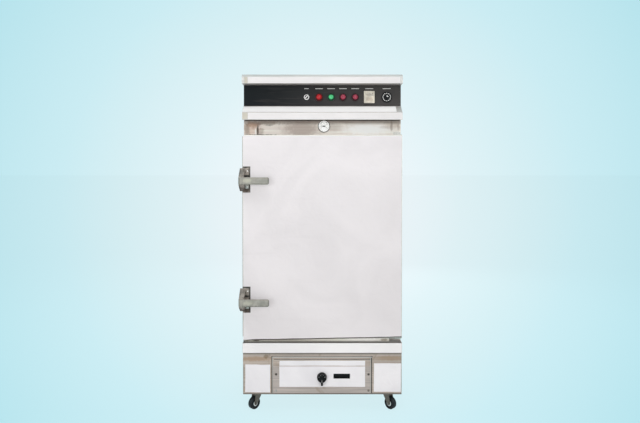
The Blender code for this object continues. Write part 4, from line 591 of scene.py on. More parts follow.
@dataclass(frozen=True)
class PlasticFinish:
    """Moulded plastic or enamel: a fine stipple, rubbed edges and dust, and a painted glow where glow is
    set.
    """

    name: str
    colour: Colour
    roughness: float = 0.38
    rub: float = 0.45
    dirt: Colour = (0.16, 0.14, 0.12)
    dirt_share: float = 0.25
    coat: float = 0.0
    # Emission; above 0 it paints a glow on a part that is no lamp.
    glow: float = 0.0
    specular: float = 0.5
    stipple: float = 0.00006
    worn_width: float = 0.0009

    def make(self) -> bpy.types.Material:
        """Builds the material.

        Returns:
            The material.
        """
        g = Graph(self.name)
        cloud = g.noise(45.0, 5.0, distortion=0.5)
        pale = shade(self.colour, 1.22, 0.004, 0.9)
        tone = g.blend(g.spread(cloud, 0.35, 0.68), shade(self.colour, 0.88), pale)
        grime = g.spread(g.noise(26.0, 7.0, rough=0.65), 0.56, 0.76, 0.0, self.dirt_share)
        tone = g.blend(grime, tone, self.dirt)
        rubbed = shade(self.colour, 1.5, 0.05, 0.85)
        tone = g.blend(g.maths("MULTIPLY", g.edge(self.worn_width), self.rub), tone, rubbed)
        clean = g.spread(cloud, 0.3, 0.7, self.roughness - 0.06, self.roughness + 0.08)
        rough = g.maths("ADD", clean, grime)
        normal = g.bump(g.noise(1400.0, 2.0), self.stipple, 0.6)
        return g.finish(
            Base_Color=tone, Roughness=rough, Normal=normal, Coat_Weight=self.coat, Coat_Roughness=0.12,
            Specular_IOR_Level=self.specular, Emission_Color=tone, Emission_Strength=self.glow
        )


@dataclass(frozen=True)
class LensFinish:
    """Coloured clear plastic of a lamp's lens, cut in small facets inside."""

    name: str
    colour: Colour
    bright: Colour
    glow: float = 0.25
    facet_depth: float = 0.0003

    def make(self) -> bpy.types.Material:
        """Builds the material.

        Returns:
            The material.
        """
        g = Graph(self.name)
        facets = g.cells(520.0)
        tone = g.blend(g.spread(facets, 0.05, 0.55), self.bright, self.colour)
        tone = g.blend(g.spread(g.noise(160.0, 3.0), 0.55, 0.75, 0.0, 0.4), tone, shade(self.colour, 0.45))
        rough = g.spread(g.noise(240.0, 3.0), 0.3, 0.7, 0.10, 0.24)
        normal = g.bump(facets, self.facet_depth, 0.35)
        return g.finish(
            Base_Color=tone, Roughness=rough, Normal=normal, Coat_Weight=0.12, Coat_Roughness=0.10,
            Specular_IOR_Level=0.22, Emission_Color=tone, Emission_Strength=self.glow
        )


@dataclass(frozen=True)
class MetalFinish:
    """Cast, rolled or turned metal without brush marks: mottled, tarnished or rusty in its hollows."""

    name: str
    colour: Colour
    tarnish: Colour
    tarnish_share: float = 0.5
    roughness: float = 0.42
    metallic: float = 0.85
    grit: float = 0.0002
    scale: float = 60.0
    worn_width: float = 0.0012

    def make(self) -> bpy.types.Material:
        """Builds the material.

        Returns:
            The material.
        """
        g = Graph(self.name)
        mottle = g.noise(self.scale, 7.0, distortion=0.7, rough=0.6)
        pits = g.noise(self.scale * 9, 3.0)
        tone = g.blend(
            g.spread(pits, 0.35, 0.65), shade(self.colour, 0.82), shade(self.colour, 1.12, most=0.95)
        )
        share = g.spread(mottle, 0.47, 0.68, 0.0, self.tarnish_share)
        tone = g.blend(share, tone, self.tarnish)
        tone = g.blend(
            g.maths("MULTIPLY", g.edge(self.worn_width), 0.40), tone, shade(self.colour, 1.35, 0.03, 0.95)
        )
        clean = g.spread(pits, 0.3, 0.7, self.roughness - 0.07, self.roughness + 0.10)
        rough = g.maths("ADD", clean, g.maths("MULTIPLY", share, 0.25), clamp=True)
        normal = g.bump(mottle, self.grit * 3, 0.5)
        normal = g.bump(pits, self.grit, 0.6, normal)
        return g.finish(Base_Color=tone, Metallic=self.metallic, Roughness=rough, Normal=normal)


@dataclass(frozen=True)
class SoftFinish:
    """Rubber, foam or wool: matt, with cells or fibres of its own size."""

    name: str
    colour: Colour
    second: Colour
    scale: float = 200.0
    fibre: Point = (1.0, 1.0, 1.0)
    depth: float = 0.0004
    roughness: float = 0.75
    dust: Colour = (0.30, 0.27, 0.23)
    dust_share: float = 0.25
    specular: float = 0.5

    def make(self) -> bpy.types.Material:
        """Builds the material.

        Returns:
            The material.
        """
        g = Graph(self.name)
        where = g.stretched(tuple(v * self.scale for v in self.fibre))
        body = g.noise(1.0, 5.0, where, distortion=0.8)
        pores = g.cells(1.6, "F1", where)
        tone = g.blend(g.spread(body, 0.35, 0.66), self.colour, self.second)
        tone = g.blend(g.spread(pores, 0.12, 0.0, 0.0, 0.5), tone, shade(self.colour, 0.45))
        settled = g.spread(g.noise(18.0, 6.0, rough=0.65), 0.54, 0.76, 0.0, self.dust_share)
        tone = g.blend(settled, tone, self.dust)
        normal = g.bump(body, self.depth, 0.8)
        rough = g.spread(body, 0.3, 0.7, self.roughness - 0.08, self.roughness + 0.08)
        return g.finish(Base_Color=tone, Roughness=rough, Normal=normal, Specular_IOR_Level=self.specular)


@dataclass(frozen=True)
class InkFinish:
    """Screen-printed or filled marks, a little worn."""

    name: str
    colour: Colour
    worn: Colour

    def make(self) -> bpy.types.Material:
        """Builds the material.

        Returns:
            The material.
        """
        g = Graph(self.name)
        wear = g.spread(g.noise(420.0, 5.0, rough=0.7), 0.50, 0.68, 0.0, 0.65)
        tone = g.blend(wear, self.colour, self.worn)
        rough = g.spread(g.noise(900.0, 2.0), 0.3, 0.7, 0.42, 0.60)
        return g.finish(Base_Color=tone, Roughness=rough)


@dataclass(frozen=True)
class GlassFinish:
    """Thin clear glass with faint smudges."""

    name: str
    tint: Colour = (0.80, 0.82, 0.82)
    cover: float = 0.10
    ripple: float = 0.00002

    def make(self) -> bpy.types.Material:
        """Builds the material.

        Returns:
            The material.
        """
        g = Graph(self.name)
        smudge = g.noise(60.0, 5.0, distortion=0.8)
        rough = g.spread(smudge, 0.45, 0.75, 0.02, 0.10)
        tone = g.blend(g.spread(smudge, 0.5, 0.8, 0.0, 0.3), self.tint, shade(self.tint, 0.93))
        normal = g.bump(g.noise(30.0, 2.0), self.ripple, 0.4)
        return g.finish(Base_Color=tone, Roughness=rough, Normal=normal, Alpha=self.cover)


HEADER_SPOTS = (
    Spot(-0.3050, 1.271, 0.034, 0.018, 0.85, colour=(0.26, 0.12, 0.065)),
    Spot(-0.2550, 1.277, 0.075, 0.012, 0.60, colour=(0.22, 0.14, 0.10)),
    Spot(-0.3150, 1.252, 0.036, 0.040, 0.45, colour=(0.66, 0.42, 0.30), ragged=1.0),
    Spot(-0.3380, 1.245, 0.014, 0.034, 0.60, colour=(0.26, 0.18, 0.13)),
    Spot(-0.2400, 1.266, 0.018, 0.005, 0.40, colour=(0.14, 0.11, 0.09)),
    Spot(-0.2880, 1.240, 0.0046, 0.034, 1.0, colour=(0.05, 0.030, 0.024), ragged=1.2),
    Spot(-0.2980, 1.236, 0.0040, 0.020, 0.80, colour=(1.0, 0.95, 0.92), ragged=1.0),
    Spot(-0.2760, 1.240, 0.018, 0.016, 0.40),
    Spot(-0.0900, 1.254, 0.095, 0.060, 0.75, colour=(0.42, 0.32, 0.275), ragged=1.1),
    Spot(0.0550, 1.258, 0.040, 0.022, 0.35, colour=(0.40, 0.33, 0.28), ragged=1.2),
    # A painted highlight on the header's right half.
    Spot(0.2000, 1.249, 0.120, 0.030, 1.0, colour=(1.0, 0.97, 0.95), ragged=0.9),
    Spot(0.3080, 1.266, 0.006, 0.030, 0.60, colour=(0.20, 0.13, 0.09)),
    Spot(0.2750, 1.258, 0.026, 0.007, 0.26, colour=(0.46, 0.37, 0.32), ragged=1.3),
    Spot(0.3150, 1.270, 0.045, 0.022, 0.45, colour=(0.45, 0.34, 0.28), ragged=1.3),
    Spot(0.3400, 1.262, 0.008, 0.020, 0.40, colour=(0.30, 0.22, 0.17)),
    # A painted shadow along the header's top, under the hood's lip.
    Spot(0.0, 1.287, 0.90, 0.017, 0.70, colour=(0.24, 0.18, 0.15), ragged=0.25),
    Spot(-0.2700, 1.2235, 0.075, 0.0040, 0.85, colour=(0.10, 0.07, 0.05)),
)

BASE_SPOTS = (
    Spot(-0.300, 0.234, 0.085, 0.012, 0.72, y=-0.045, colour=(0.42, 0.245, 0.155), ragged=1.3),
    Spot(0.300, 0.237, 0.080, 0.012, 0.68, y=-0.045, colour=(0.42, 0.255, 0.165), ragged=1.3),
    Spot(-0.245, 0.245, 0.018, 0.010, 0.60, y=-0.045),
    # A painted shadow under the gutter.
    Spot(0.0, 0.260, 0.90, 0.007, 0.75, y=-0.045, colour=(0.10, 0.08, 0.06), ragged=0.3),
    # A painted shade line along the base's bottom edge.
    Spot(0.0, 0.0780, 0.90, 0.0070, 0.80, y=-0.045, colour=(0.12, 0.10, 0.085), ragged=0.4),
    Spot(-0.350, 0.150, 0.0080, 0.080, 0.55, y=-0.045, colour=(0.30, 0.26, 0.23), ragged=0.5),
    Spot(0.350, 0.150, 0.0080, 0.080, 0.65, y=-0.045, colour=(0.16, 0.14, 0.125), ragged=0.5),
)

SILL_SPOTS = (
    Spot(-0.290, 0.313, 0.018, 0.006, 0.90, y=-0.035, colour=(0.07, 0.05, 0.04)),
    Spot(-0.330, 0.316, 0.012, 0.009, 0.60, y=-0.035),
    Spot(-0.200, 0.316, 0.150, 0.030, 0.36, y=-0.035, colour=(0.30, 0.25, 0.20), ragged=0.8),
    # A painted highlight on the sill's right half.
    Spot(0.190, 0.317, 0.110, 0.030, 0.85, y=-0.035, colour=(1.0, 0.93, 0.88), ragged=0.8),
    Spot(0.275, 0.316, 0.022, 0.007, 0.65, y=-0.035),
    # A painted shadow line along the sill's lower edge, in the gap above the gutter.
    Spot(0.0, 0.309, 0.90, 0.0040, 0.60, y=-0.035, colour=(0.12, 0.09, 0.07), ragged=0.3),
)

LATCH_HEIGHTS = (1.0247, 0.4970)


def latch_spots() -> tuple[Spot, ...]:
    """Places the grime, a painted shadow above each lever and the rubbed places on both latches' plates.

    Returns:
        The patches.
    """
    black, brown, rubbed = (0.022, 0.018, 0.016), (0.060, 0.034, 0.024), (0.66, 0.55, 0.50)
    found = []
    for z in LATCH_HEIGHTS:
        found += [
            Spot(-0.3580, z - 0.004, 0.012, 0.013, 0.90, y=-0.075, colour=rubbed),
            Spot(-0.3600, z + 0.033, 0.012, 0.018, 0.70, y=-0.070, colour=(0.12, 0.10, 0.09)),
            Spot(-0.3600, z - 0.038, 0.012, 0.018, 0.85, y=-0.070, colour=brown),
            Spot(-0.3335, z - 0.045, 0.020, 0.018, 0.92, y=-0.053, colour=brown),
            # A painted shadow above the lever.
            Spot(-0.3335, z + 0.016, 0.022, 0.006, 0.95, y=-0.053, colour=black),
            Spot(-0.3190, z, 0.0045, 0.075, 0.92, y=-0.053, colour=black),
            Spot(-0.3335, z + 0.055, 0.024, 0.0040, 0.92, y=-0.053, colour=black),
            Spot(-0.3440, z + 0.040, 0.006, 0.012, 0.60, y=-0.053, colour=(0.10, 0.08, 0.07)),
        ]
    return tuple(found)


def lever_spots() -> tuple[Spot, ...]:
    """Places painted shade along the levers' lower edges, darker patches at their tips and on their arms,
    and a pale patch near the hub.

    Returns:
        The patches.
    """
    found = []
    for z in LATCH_HEIGHTS:
        found += [
            # Painted shade along the lever's lower edge.
            Spot(-0.285, z - 0.0215, 0.085, 0.0060, 0.90, y=-0.090, colour=(0.11, 0.11, 0.085)),
            Spot(-0.230, z - 0.006, 0.0060, 0.020, 0.85, y=-0.090, colour=(0.10, 0.10, 0.085)),
            Spot(-0.255, z - 0.006, 0.030, 0.009, 0.35, y=-0.090, colour=(0.24, 0.24, 0.21)),
            Spot(-0.322, z - 0.004, 0.020, 0.010, 0.45, y=-0.090, colour=(0.60, 0.56, 0.44)),
        ]
    return tuple(found)


class Finishes:
    """Every finish of the cabinet, built once each when it is first asked for."""

    def __init__(self) -> None:
        """Names every finish, with none made yet."""
        plain = (
            # front_steel's colour is lifted to near white: painted light in the shade under the hood.
            SteelFinish(
                "front_steel", (1.0, 0.835, 0.765), metallic=0.10, roughness=0.48, grain_share=0.52,
                stain_scale=11.0, stain_share=0.15, spots=HEADER_SPOTS
            ),
            SteelFinish(
                "base_steel", (0.55, 0.41, 0.35), metallic=0.55, grain_share=0.55, stain_share=0.5,
                stain_scale=11.0, spots=BASE_SPOTS
            ),
            SteelFinish(
                "cover_steel", (0.54, 0.42, 0.38), metallic=0.55, grain_share=0.5, stain_share=0.4,
                stain_scale=11.0
            ),
            SteelFinish(
                "side_steel", (0.66, 0.60, 0.56), Grain.ALONG_Z, roughness=0.36, metallic=0.80,
                grain_share=0.14, stain_share=0.14, dent=0.0012
            ),
            SteelFinish(
                "back_steel", (0.60, 0.55, 0.51), Grain.ALONG_X, roughness=0.42, grain_share=0.18,
                stain_share=0.22, dent=0.0010
            ),
            SteelFinish(
                "lip_steel", (0.62, 0.55, 0.52), roughness=0.50, grain_share=0.2, stain_share=0.12,
                metallic=0.60
            ),
            # sill_steel's colour is lifted far above the other steel: painted light in the recess under the
            # door, where shade falls.
            SteelFinish(
                "sill_steel", (0.92, 0.78, 0.69), metallic=0.15, roughness=0.5, grain_share=0.8,
                stain_share=0.55, spots=SILL_SPOTS
            ),
            SteelFinish("door_steel", (0.68, 0.60, 0.54), grain_share=0.25, stain_share=0.30),
            SteelFinish(
                "liner_steel", (0.72, 0.66, 0.61), Grain.ALONG_X, roughness=0.34, grain_share=0.16,
                stain_share=0.22, stain=(0.42, 0.37, 0.28)
            ),
            SteelFinish(
                "latch_plate", (0.36, 0.29, 0.25), Grain.NONE, metallic=0.5, roughness=0.5,
                stain_share=0.75, stain=(0.09, 0.065, 0.05), stain_scale=70.0, spots=latch_spots()
            ),
            SteelFinish(
                "lever_alloy", linear(161, 154, 145), Grain.NONE, metallic=0.30, roughness=0.5,
                stain_share=0.3, stain=(0.30, 0.30, 0.24), stain_scale=40.0, spots=lever_spots()
            ),
            SteelFinish("chassis_steel", (0.46, 0.41, 0.37), Grain.ALONG_X, roughness=0.5, stain_share=0.5),
            SteelFinish(
                "rack_steel", (0.72, 0.67, 0.64), Grain.ALONG_Z, roughness=0.30, stain_share=0.2,
                metallic=0.9
            ),
            SteelFinish(
                "tray_steel", (0.76, 0.71, 0.68), Grain.ALONG_X, roughness=0.28, stain_share=0.22,
                metallic=0.92, stain=(0.45, 0.42, 0.36)
            ),
            SteelFinish(
                "tank_steel", (0.62, 0.61, 0.58), Grain.NONE, roughness=0.33, stain_share=0.45,
                stain=(0.62, 0.58, 0.50), metallic=0.85
            ),
            FilmFinish("film", linear(244, 243, 246)),
            FilmFinish("lip_film", linear(231, 229, 230)),
            # slope_film is a lighter copy of the film: painted light on the hood's up-facing slope.
            FilmFinish("slope_film", linear(252, 252, 252)),
            FilmFinish("door_film", linear(231, 228, 231), crease=0.0006),
            FilmFinish("base_film", linear(240, 239, 244), crease=0.0006, haze=0.08),
            FilmFinish("bare_fold", linear(205, 200, 188), crease=0.0004, haze=0.16, roughness=0.5),
            PaintFinish("panel_paint", linear(5, 5, 9), linear(66, 62, 61)),
            PlasticFinish(
                "black_plastic", (0.006, 0.006, 0.007), roughness=0.40, rub=0.08, dirt_share=0.06,
                specular=0.12
            ),
            PlasticFinish(
                "slot_black", (0.006, 0.006, 0.007), roughness=0.5, dirt_share=0.06, specular=0.10
            ),
            PlasticFinish("cream_plastic", linear(210, 202, 187), roughness=0.42, dirt=(0.42, 0.34, 0.26)),
            PlasticFinish(
                "white_enamel", linear(232, 231, 226), roughness=0.30, dirt=(0.45, 0.42, 0.36), coat=0.3
            ),
            # dial_white's glow paints light on the thermometer's dial and bezel and on the selector switch,
            # which are no lamps.
            PlasticFinish(
                "dial_white", linear(252, 251, 248), roughness=0.35, dirt=(0.55, 0.52, 0.46),
                dirt_share=0.12, coat=0.2, glow=0.36
            ),
            PlasticFinish("board_plastic", (0.62, 0.60, 0.53), roughness=0.5, dirt_share=0.35),
            PlasticFinish(
                "red_rim", (0.060, 0.004, 0.005), roughness=0.34, rub=0.10, dirt_share=0.06, specular=0.2
            ),
            PlasticFinish(
                "green_rim", (0.008, 0.050, 0.024), roughness=0.34, rub=0.10, dirt_share=0.06, specular=0.2
            ),
            PlasticFinish(
                "crimson_rim", (0.045, 0.003, 0.007), roughness=0.34, rub=0.10, dirt_share=0.06,
                specular=0.2
            ),
            LensFinish("red_lens", (0.36, 0.003, 0.006), (0.62, 0.008, 0.014), 0.14),
            LensFinish("green_lens", (0.04, 0.43, 0.15), (0.20, 0.77, 0.38), 0.26),
            LensFinish("crimson_lens", (0.27, 0.020, 0.045), (0.58, 0.13, 0.19), 0.12),
            MetalFinish("bright_metal", (0.76, 0.69, 0.66), (0.34, 0.30, 0.26), 0.35, roughness=0.30),
            MetalFinish(
                "latch_alloy", linear(184, 176, 162), (0.20, 0.19, 0.14), 0.35, roughness=0.46,
                metallic=0.55, scale=38.0
            ),
            MetalFinish("hinge_steel", (0.54, 0.47, 0.43), (0.20, 0.14, 0.09), 0.55, roughness=0.42),
            MetalFinish(
                "strike_steel", (0.26, 0.21, 0.18), (0.09, 0.06, 0.04), 0.6, roughness=0.48, metallic=0.5
            ),
            MetalFinish(
                "heater_metal", (0.20, 0.17, 0.16), (0.36, 0.33, 0.30), 0.6, roughness=0.55, metallic=0.7
            ),
            MetalFinish(
                "brass", (0.66, 0.48, 0.20), (0.24, 0.16, 0.07), 0.55, roughness=0.36, metallic=1.0
            ),
            MetalFinish(
                "cast_iron", (0.075, 0.072, 0.070), (0.17, 0.085, 0.045), 0.5, roughness=0.68, metallic=0.5,
                grit=0.0006
            ),
            MetalFinish(
                "dark_screw", (0.10, 0.075, 0.06), (0.05, 0.03, 0.02), 0.6, roughness=0.6, metallic=0.4
            ),
            MetalFinish(
                "fork_steel", (0.17, 0.14, 0.12), (0.14, 0.085, 0.05), 0.6, roughness=0.42, scale=90.0
            ),
            SoftFinish(
                "wheel_rubber", (0.008, 0.009, 0.011), (0.016, 0.017, 0.019), 400.0, depth=0.0001,
                roughness=0.45, dust_share=0.06, specular=0.2
            ),
            SoftFinish(
                "seal_silicone", (0.44, 0.45, 0.44), (0.56, 0.56, 0.54), 260.0, depth=0.0001, roughness=0.55
            ),
            # joint_dirt is dirt in joints; under the cover's fold it paints the fold's shadow.
            SoftFinish(
                "joint_dirt", (0.13, 0.11, 0.09), (0.24, 0.20, 0.16), 240.0, depth=0.0002, roughness=0.8
            ),
            # grime is dark dirt in the cover's right joint and behind the latch plates; on the header bead,
            # the door's lower strip and the ring round the thermometer it paints shadow.
            SoftFinish(
                "grime", (0.028, 0.020, 0.016), (0.070, 0.048, 0.036), 240.0, depth=0.0002, roughness=0.8
            ),
            SoftFinish(
                "mineral_wool", (0.50, 0.41, 0.22), (0.68, 0.60, 0.38), 90.0, (1.0, 4.0, 1.6), 0.0025, 0.92
            ),
            SoftFinish("foam", (0.66, 0.58, 0.36), (0.78, 0.71, 0.50), 320.0, depth=0.0012, roughness=0.88),
            InkFinish("white_ink", (0.88, 0.88, 0.87), (0.40, 0.40, 0.40)),
            InkFinish("grey_ink", (0.36, 0.36, 0.37), (0.12, 0.12, 0.12)),
            InkFinish("black_ink", (0.020, 0.020, 0.022), (0.14, 0.13, 0.12)),
            InkFinish("brown_ink", (0.30, 0.17, 0.09), (0.52, 0.42, 0.30)),
            GlassFinish("dial_glass"),
        )
        self.known = {finish.name: finish for finish in plain}
        self.made: dict[str, bpy.types.Material] = {}

    def get(self, name: str) -> bpy.types.Material:
        """Finds a finish's material.

        Args:
            name: the finish's name.

        Returns:
            The material, made if it is asked for the first time.
        """
        if name not in self.made:
            self.made[name] = self.known[name].make()
        return self.made[name]


class Datum:
    """Where the places' origin lies in the frame."""

    origin = Vector((0.0, 0.0, 0.0))

    @classmethod
    def find(cls) -> None:
        """Takes the origin from the front frame's box."""
        low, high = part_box("face_frame")
        cls.origin = Vector(((low.x + high.x) / 2, low.y, 0.0))

    @classmethod
    def at(cls, point: Point) -> Vector:
        """A place as a point of the frame."""
        return Vector(point) + cls.origin

    @classmethod
    def front_of(cls, node: str) -> float:
        """The depth at which a frame node's front lies."""
        low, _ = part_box(node)
        return low.y - cls.origin.y


def around(count: int) -> list[tuple[float, float]]:
    """The cosine and sine of each corner of a regular polygon."""
    return [(math.cos(math.tau * i / count), math.sin(math.tau * i / count)) for i in range(count)]


def revolve(profile: Outline, segments: int = 32) -> Shape:
    """Makes a turned piece about the z axis.

    Args:
        profile: (radius, height) pairs from one end to the other.
        segments: how many sides the turn has.

    Returns:
        A closed body if the profile starts and ends on the axis.
    """
    bm = bmesh.new()
    rings = []
    for radius, height in profile:
        if radius < 1e-7:
            rings.append([bm.verts.new((0.0, 0.0, height))])
            continue
        rings.append([bm.verts.new((radius * c, radius * s, height)) for c, s in around(segments)])
    for lower, upper in zip(rings, rings[1:]):
        for i in range(segments):
            j = (i + 1) % segments
            corners = [
                lower[i % len(lower)], lower[j % len(lower)], upper[j % len(upper)], upper[i % len(upper)]
            ]
            face = list(dict.fromkeys(corners))
            if len(face) > 2:
                bm.faces.new(face)
    bmesh.ops.recalc_face_normals(bm, faces=bm.faces)
    return bm


def ring(radius: float, wire: float, segments: int = 40, sides: int = 10, flat: float = 1.0) -> Shape:
    """Makes a round hoop about the z axis, lying on z = 0.

    Args:
        radius: from the axis to the middle of the wire.
        wire: the wire's radius.
        segments: how many pieces the hoop has.
        sides: how many sides the wire has.
        flat: the wire's height as a share of its width.

    Returns:
        The hoop.
    """
    turns = [math.tau * i / sides for i in range(sides + 1)]
    bm = revolve([(radius + wire * math.cos(a), flat * wire * (1 + math.sin(a))) for a in turns], segments)
    bmesh.ops.remove_doubles(bm, verts=bm.verts, dist=1e-6)
    bmesh.ops.recalc_face_normals(bm, faces=bm.faces)
    return bm


def block(size: Point, soft: float) -> Shape:
    """Makes a block standing on z = 0.

    Args:
        size: its width, depth and height.
        soft: how far its edges are rounded.

    Returns:
        The block.
    """
    bm = bmesh.new()
    bmesh.ops.create_cube(bm, size=1.0)
    bmesh.ops.scale(bm, verts=bm.verts, vec=size)
    bmesh.ops.translate(bm, verts=bm.verts, vec=(0.0, 0.0, size[2] / 2))
    if soft > 0:
        bmesh.ops.bevel(bm, geom=bm.edges[:], offset=soft, segments=2, affect="EDGES", profile=0.5)
    return bm


def plate(outline: Outline, thick: float, soft: float = 0.0) -> Shape:
    """Makes a flat plate standing on z = 0.

    Args:
        outline: its corners in order.
        thick: its height.
        soft: how far its upper edge is rounded.

    Returns:
        The plate.
    """
    bm = bmesh.new()
    face = bm.faces.new([bm.verts.new((x, y, 0.0)) for x, y in outline])
    raised = bmesh.ops.extrude_face_region(bm, geom=[face])
    top = [v for v in raised["geom"] if isinstance(v, bmesh.types.BMVert)]
    bmesh.ops.translate(bm, verts=top, vec=(0.0, 0.0, thick))
    bmesh.ops.recalc_face_normals(bm, faces=bm.faces)
    if soft > 0:
        rim = [e for e in bm.edges if all(v.co.z > thick / 2 for v in e.verts)]
        bmesh.ops.bevel(bm, geom=rim, offset=soft, segments=2, affect="EDGES", profile=0.5)
    return bm


def joined(parts: Sequence[Shape]) -> Shape:
    """Puts several bodies into one mesh.

    Args:
        parts: the bodies, which are used up.

    Returns:
        The mesh.
    """
    whole = bmesh.new()
    for part in parts:
        mesh = bpy.data.meshes.new("part")
        part.to_mesh(mesh)
        part.free()
        whole.from_mesh(mesh)
        bpy.data.meshes.remove(mesh)
    return whole


def shifted(bm: Shape, move: Point) -> Shape:
    """The body, moved."""
    bmesh.ops.translate(bm, verts=bm.verts, vec=move)
    return bm


def turned(bm: Shape, angle: float, axis: str = "Z") -> Shape:
    """The body, turned about an axis."""
    bmesh.ops.transform(bm, matrix=Matrix.Rotation(angle, 4, axis), verts=bm.verts)
    return bm


def bar(size: Point, across: float = 0.0, up: float = 0.0, soft: float = 0.00004) -> Shape:
    """A thin bar lying on z = 0, moved across and up from the middle."""
    return shifted(block(size, soft), (across, up, 0.0))


def tube(points: Sequence[Point], radius: float, sides: int = 8) -> Shape:
    """Makes a round wire with flat ends.

    Args:
        points: the corners of the wire's middle line.
        radius: the wire's radius.
        sides: how many sides it has.

    Returns:
        The wire.
    """
    bm = bmesh.new()
    path = [Vector(p) for p in points]
    rings = []
    up = Vector((0.0, 0.0, 1.0))
    for i, here in enumerate(path):
        along = (path[min(i + 1, len(path) - 1)] - path[max(i - 1, 0)]).normalized()
        side = along.cross(up)
        side = side.normalized() if side.length > 1e-4 else Vector((1.0, 0.0, 0.0))
        over = side.cross(along)
        rings.append([bm.verts.new(here + radius * (c * side + s * over)) for c, s in around(sides)])
    for first, second in zip(rings, rings[1:]):
        for k in range(sides):
            bm.faces.new((first[k], first[(k + 1) % sides], second[(k + 1) % sides], second[k]))
    bm.faces.new(rings[0])
    bm.faces.new(rings[-1])
    bmesh.ops.recalc_face_normals(bm, faces=bm.faces)
    return bm


def lettering(words: str, height: float, thick: float = 0.0002) -> Shape:
    """Makes plain raised letters or numbers, centred, standing on z = 0.

    Args:
        words: what they say.
        height: the letters' size.
        thick: how far they are raised.

    Returns:
        The letters.
    """
    curve = bpy.data.curves.new("letters", "FONT")
    curve.body = words
    curve.size = height
    curve.align_x = "CENTER"
    curve.align_y = "CENTER"
    curve.extrude = thick / 2
    holder = bpy.data.objects.new("letters", curve)
    bpy.context.scene.collection.objects.link(holder)
    bpy.context.view_layer.update()
    mesh = bpy.data.meshes.new_from_object(holder)
    bm = bmesh.new()
    bm.from_mesh(mesh)
    bpy.data.objects.remove(holder)
    bpy.data.curves.remove(curve)
    bpy.data.meshes.remove(mesh)
    return shifted(bm, (0.0, 0.0, thick / 2))


@dataclass(frozen=True)
class Curl:
    """A corner of a film that has let go and stands off the sheet."""

    across: float
    up: float
    reach: float
    lift: float


@dataclass(frozen=True)
class Film:
    """A thin film on a sheet, given by its corners: lower left, lower right, upper right, upper left."""

    name: str
    corners: tuple[Point, Point, Point, Point]
    finish: str = "film"
    body: str = CABINET
    thick: float = 0.00022
    clear: float = 0.00016
    ripple: float = 0.0003
    ragged: float = 0.0007
    step: float = 0.012
    seed: float = 0.0
    curls: tuple[Curl, ...] = ()
    folds: tuple[Point, ...] = ()
    holes: tuple[tuple[float, float, float, float], ...] = ()

    def point(self, across: float, up: float) -> tuple[Vector, Vector]:
        """Finds a point of the film's outer face and the way that the face looks.

        Args:
            across: share of the way from the left edge to the right one.
            up: share of the way from the lower edge to the upper one.

        Returns:
            The point, and the unit normal.
        """
        a, b, c, d = (Vector(p) for p in self.corners)
        normal = (b - a).cross(d - a).normalized()
        here = a.lerp(b, across).lerp(d.lerp(c, across), up)
        width, tall = (b - a).normalized(), (d - a).normalized()
        side = 1.0 if across >= 1 else -1.0 if across <= 0 else 0.0
        ends = 1.0 if up >= 1 else -1.0 if up <= 0 else 0.0
        wander = noise.noise(here * 23 + Vector((self.seed, 0.0, 0.0)))
        here = here - width * side * self.ragged * (1 + wander) - tall * ends * self.ragged * (1 + wander)
        rise = self.clear + self.thick
        rise += self.ripple * max(0.0, noise.noise(here * 14 + Vector((0.0, self.seed, 0.0))) + 0.25)
        rise += 0.5 * self.ripple * max(0.0, noise.noise(here * 55))
        for middle, wide, crest in self.folds:
            rise += crest * math.exp(-(((across - middle) / wide) ** 2))
        for curl in self.curls:
            away = math.hypot((across - curl.across) * (b - a).length, (up - curl.up) * (d - a).length)
            rise += curl.lift * max(0.0, 1 - away / curl.reach) ** 2
        return here + normal * rise, normal

    def lines(self, length: float, least: int, wanted: tuple[float, ...]) -> list[float]:
        """Finds where the film is cut into cells along one edge.

        Args:
            length: the edge's length.
            least: the fewest cells that it may have.
            wanted: shares of the length that get a line, for the holes' edges.

        Returns:
            The lines' shares of the length, in order.
        """
        count = max(least, round(length / self.step))
        shares = [i / count for i in range(count + 1)]
        near = 0.45 / count
        kept = [s for s in shares if s in (0.0, 1.0) or all(abs(s - w) > near for w in wanted)]
        return sorted({*kept, *wanted})

    def build(self) -> Shape:
        """Makes the film as a closed thin body, open where it has holes.

        Returns:
            The body.
        """
        a, b, _, d = (Vector(p) for p in self.corners)
        across = self.lines((b - a).length, 4, tuple(v for h in self.holes for v in h[:2]))
        up = self.lines((d - a).length, 3, tuple(v for h in self.holes for v in h[2:]))
        bm = bmesh.new()
        pairs = {}
        for j, v in enumerate(up):
            for i, u in enumerate(across):
                here, normal = self.point(u, v)
                pairs[i, j] = (bm.verts.new(here), bm.verts.new(here - normal * self.thick))
        cells = {
            (i, j)
            for j in range(len(up) - 1)
            for i in range(len(across) - 1)
            if not any(h[0] <= across[i] < h[1] and h[2] <= up[j] < h[3] for h in self.holes)
        }
        for i, j in sorted(cells):
            ways = ((i, j), (i + 1, j), (i + 1, j + 1), (i, j + 1))
            bm.faces.new([pairs[k][0] for k in ways])
            bm.faces.new([pairs[k][1] for k in reversed(ways)])
            beside = ((i, j - 1), (i + 1, j), (i, j + 1), (i - 1, j))
            for k, (start, end) in enumerate(zip(ways, ways[1:] + ways[:1])):
                if beside[k] not in cells:
                    bm.faces.new((pairs[end][0], pairs[start][0], pairs[start][1], pairs[end][1]))
        loose = [v for v in bm.verts if not v.link_faces]
        bmesh.ops.delete(bm, geom=loose, context="VERTS")
        bmesh.ops.recalc_face_normals(bm, faces=bm.faces)
        return bm


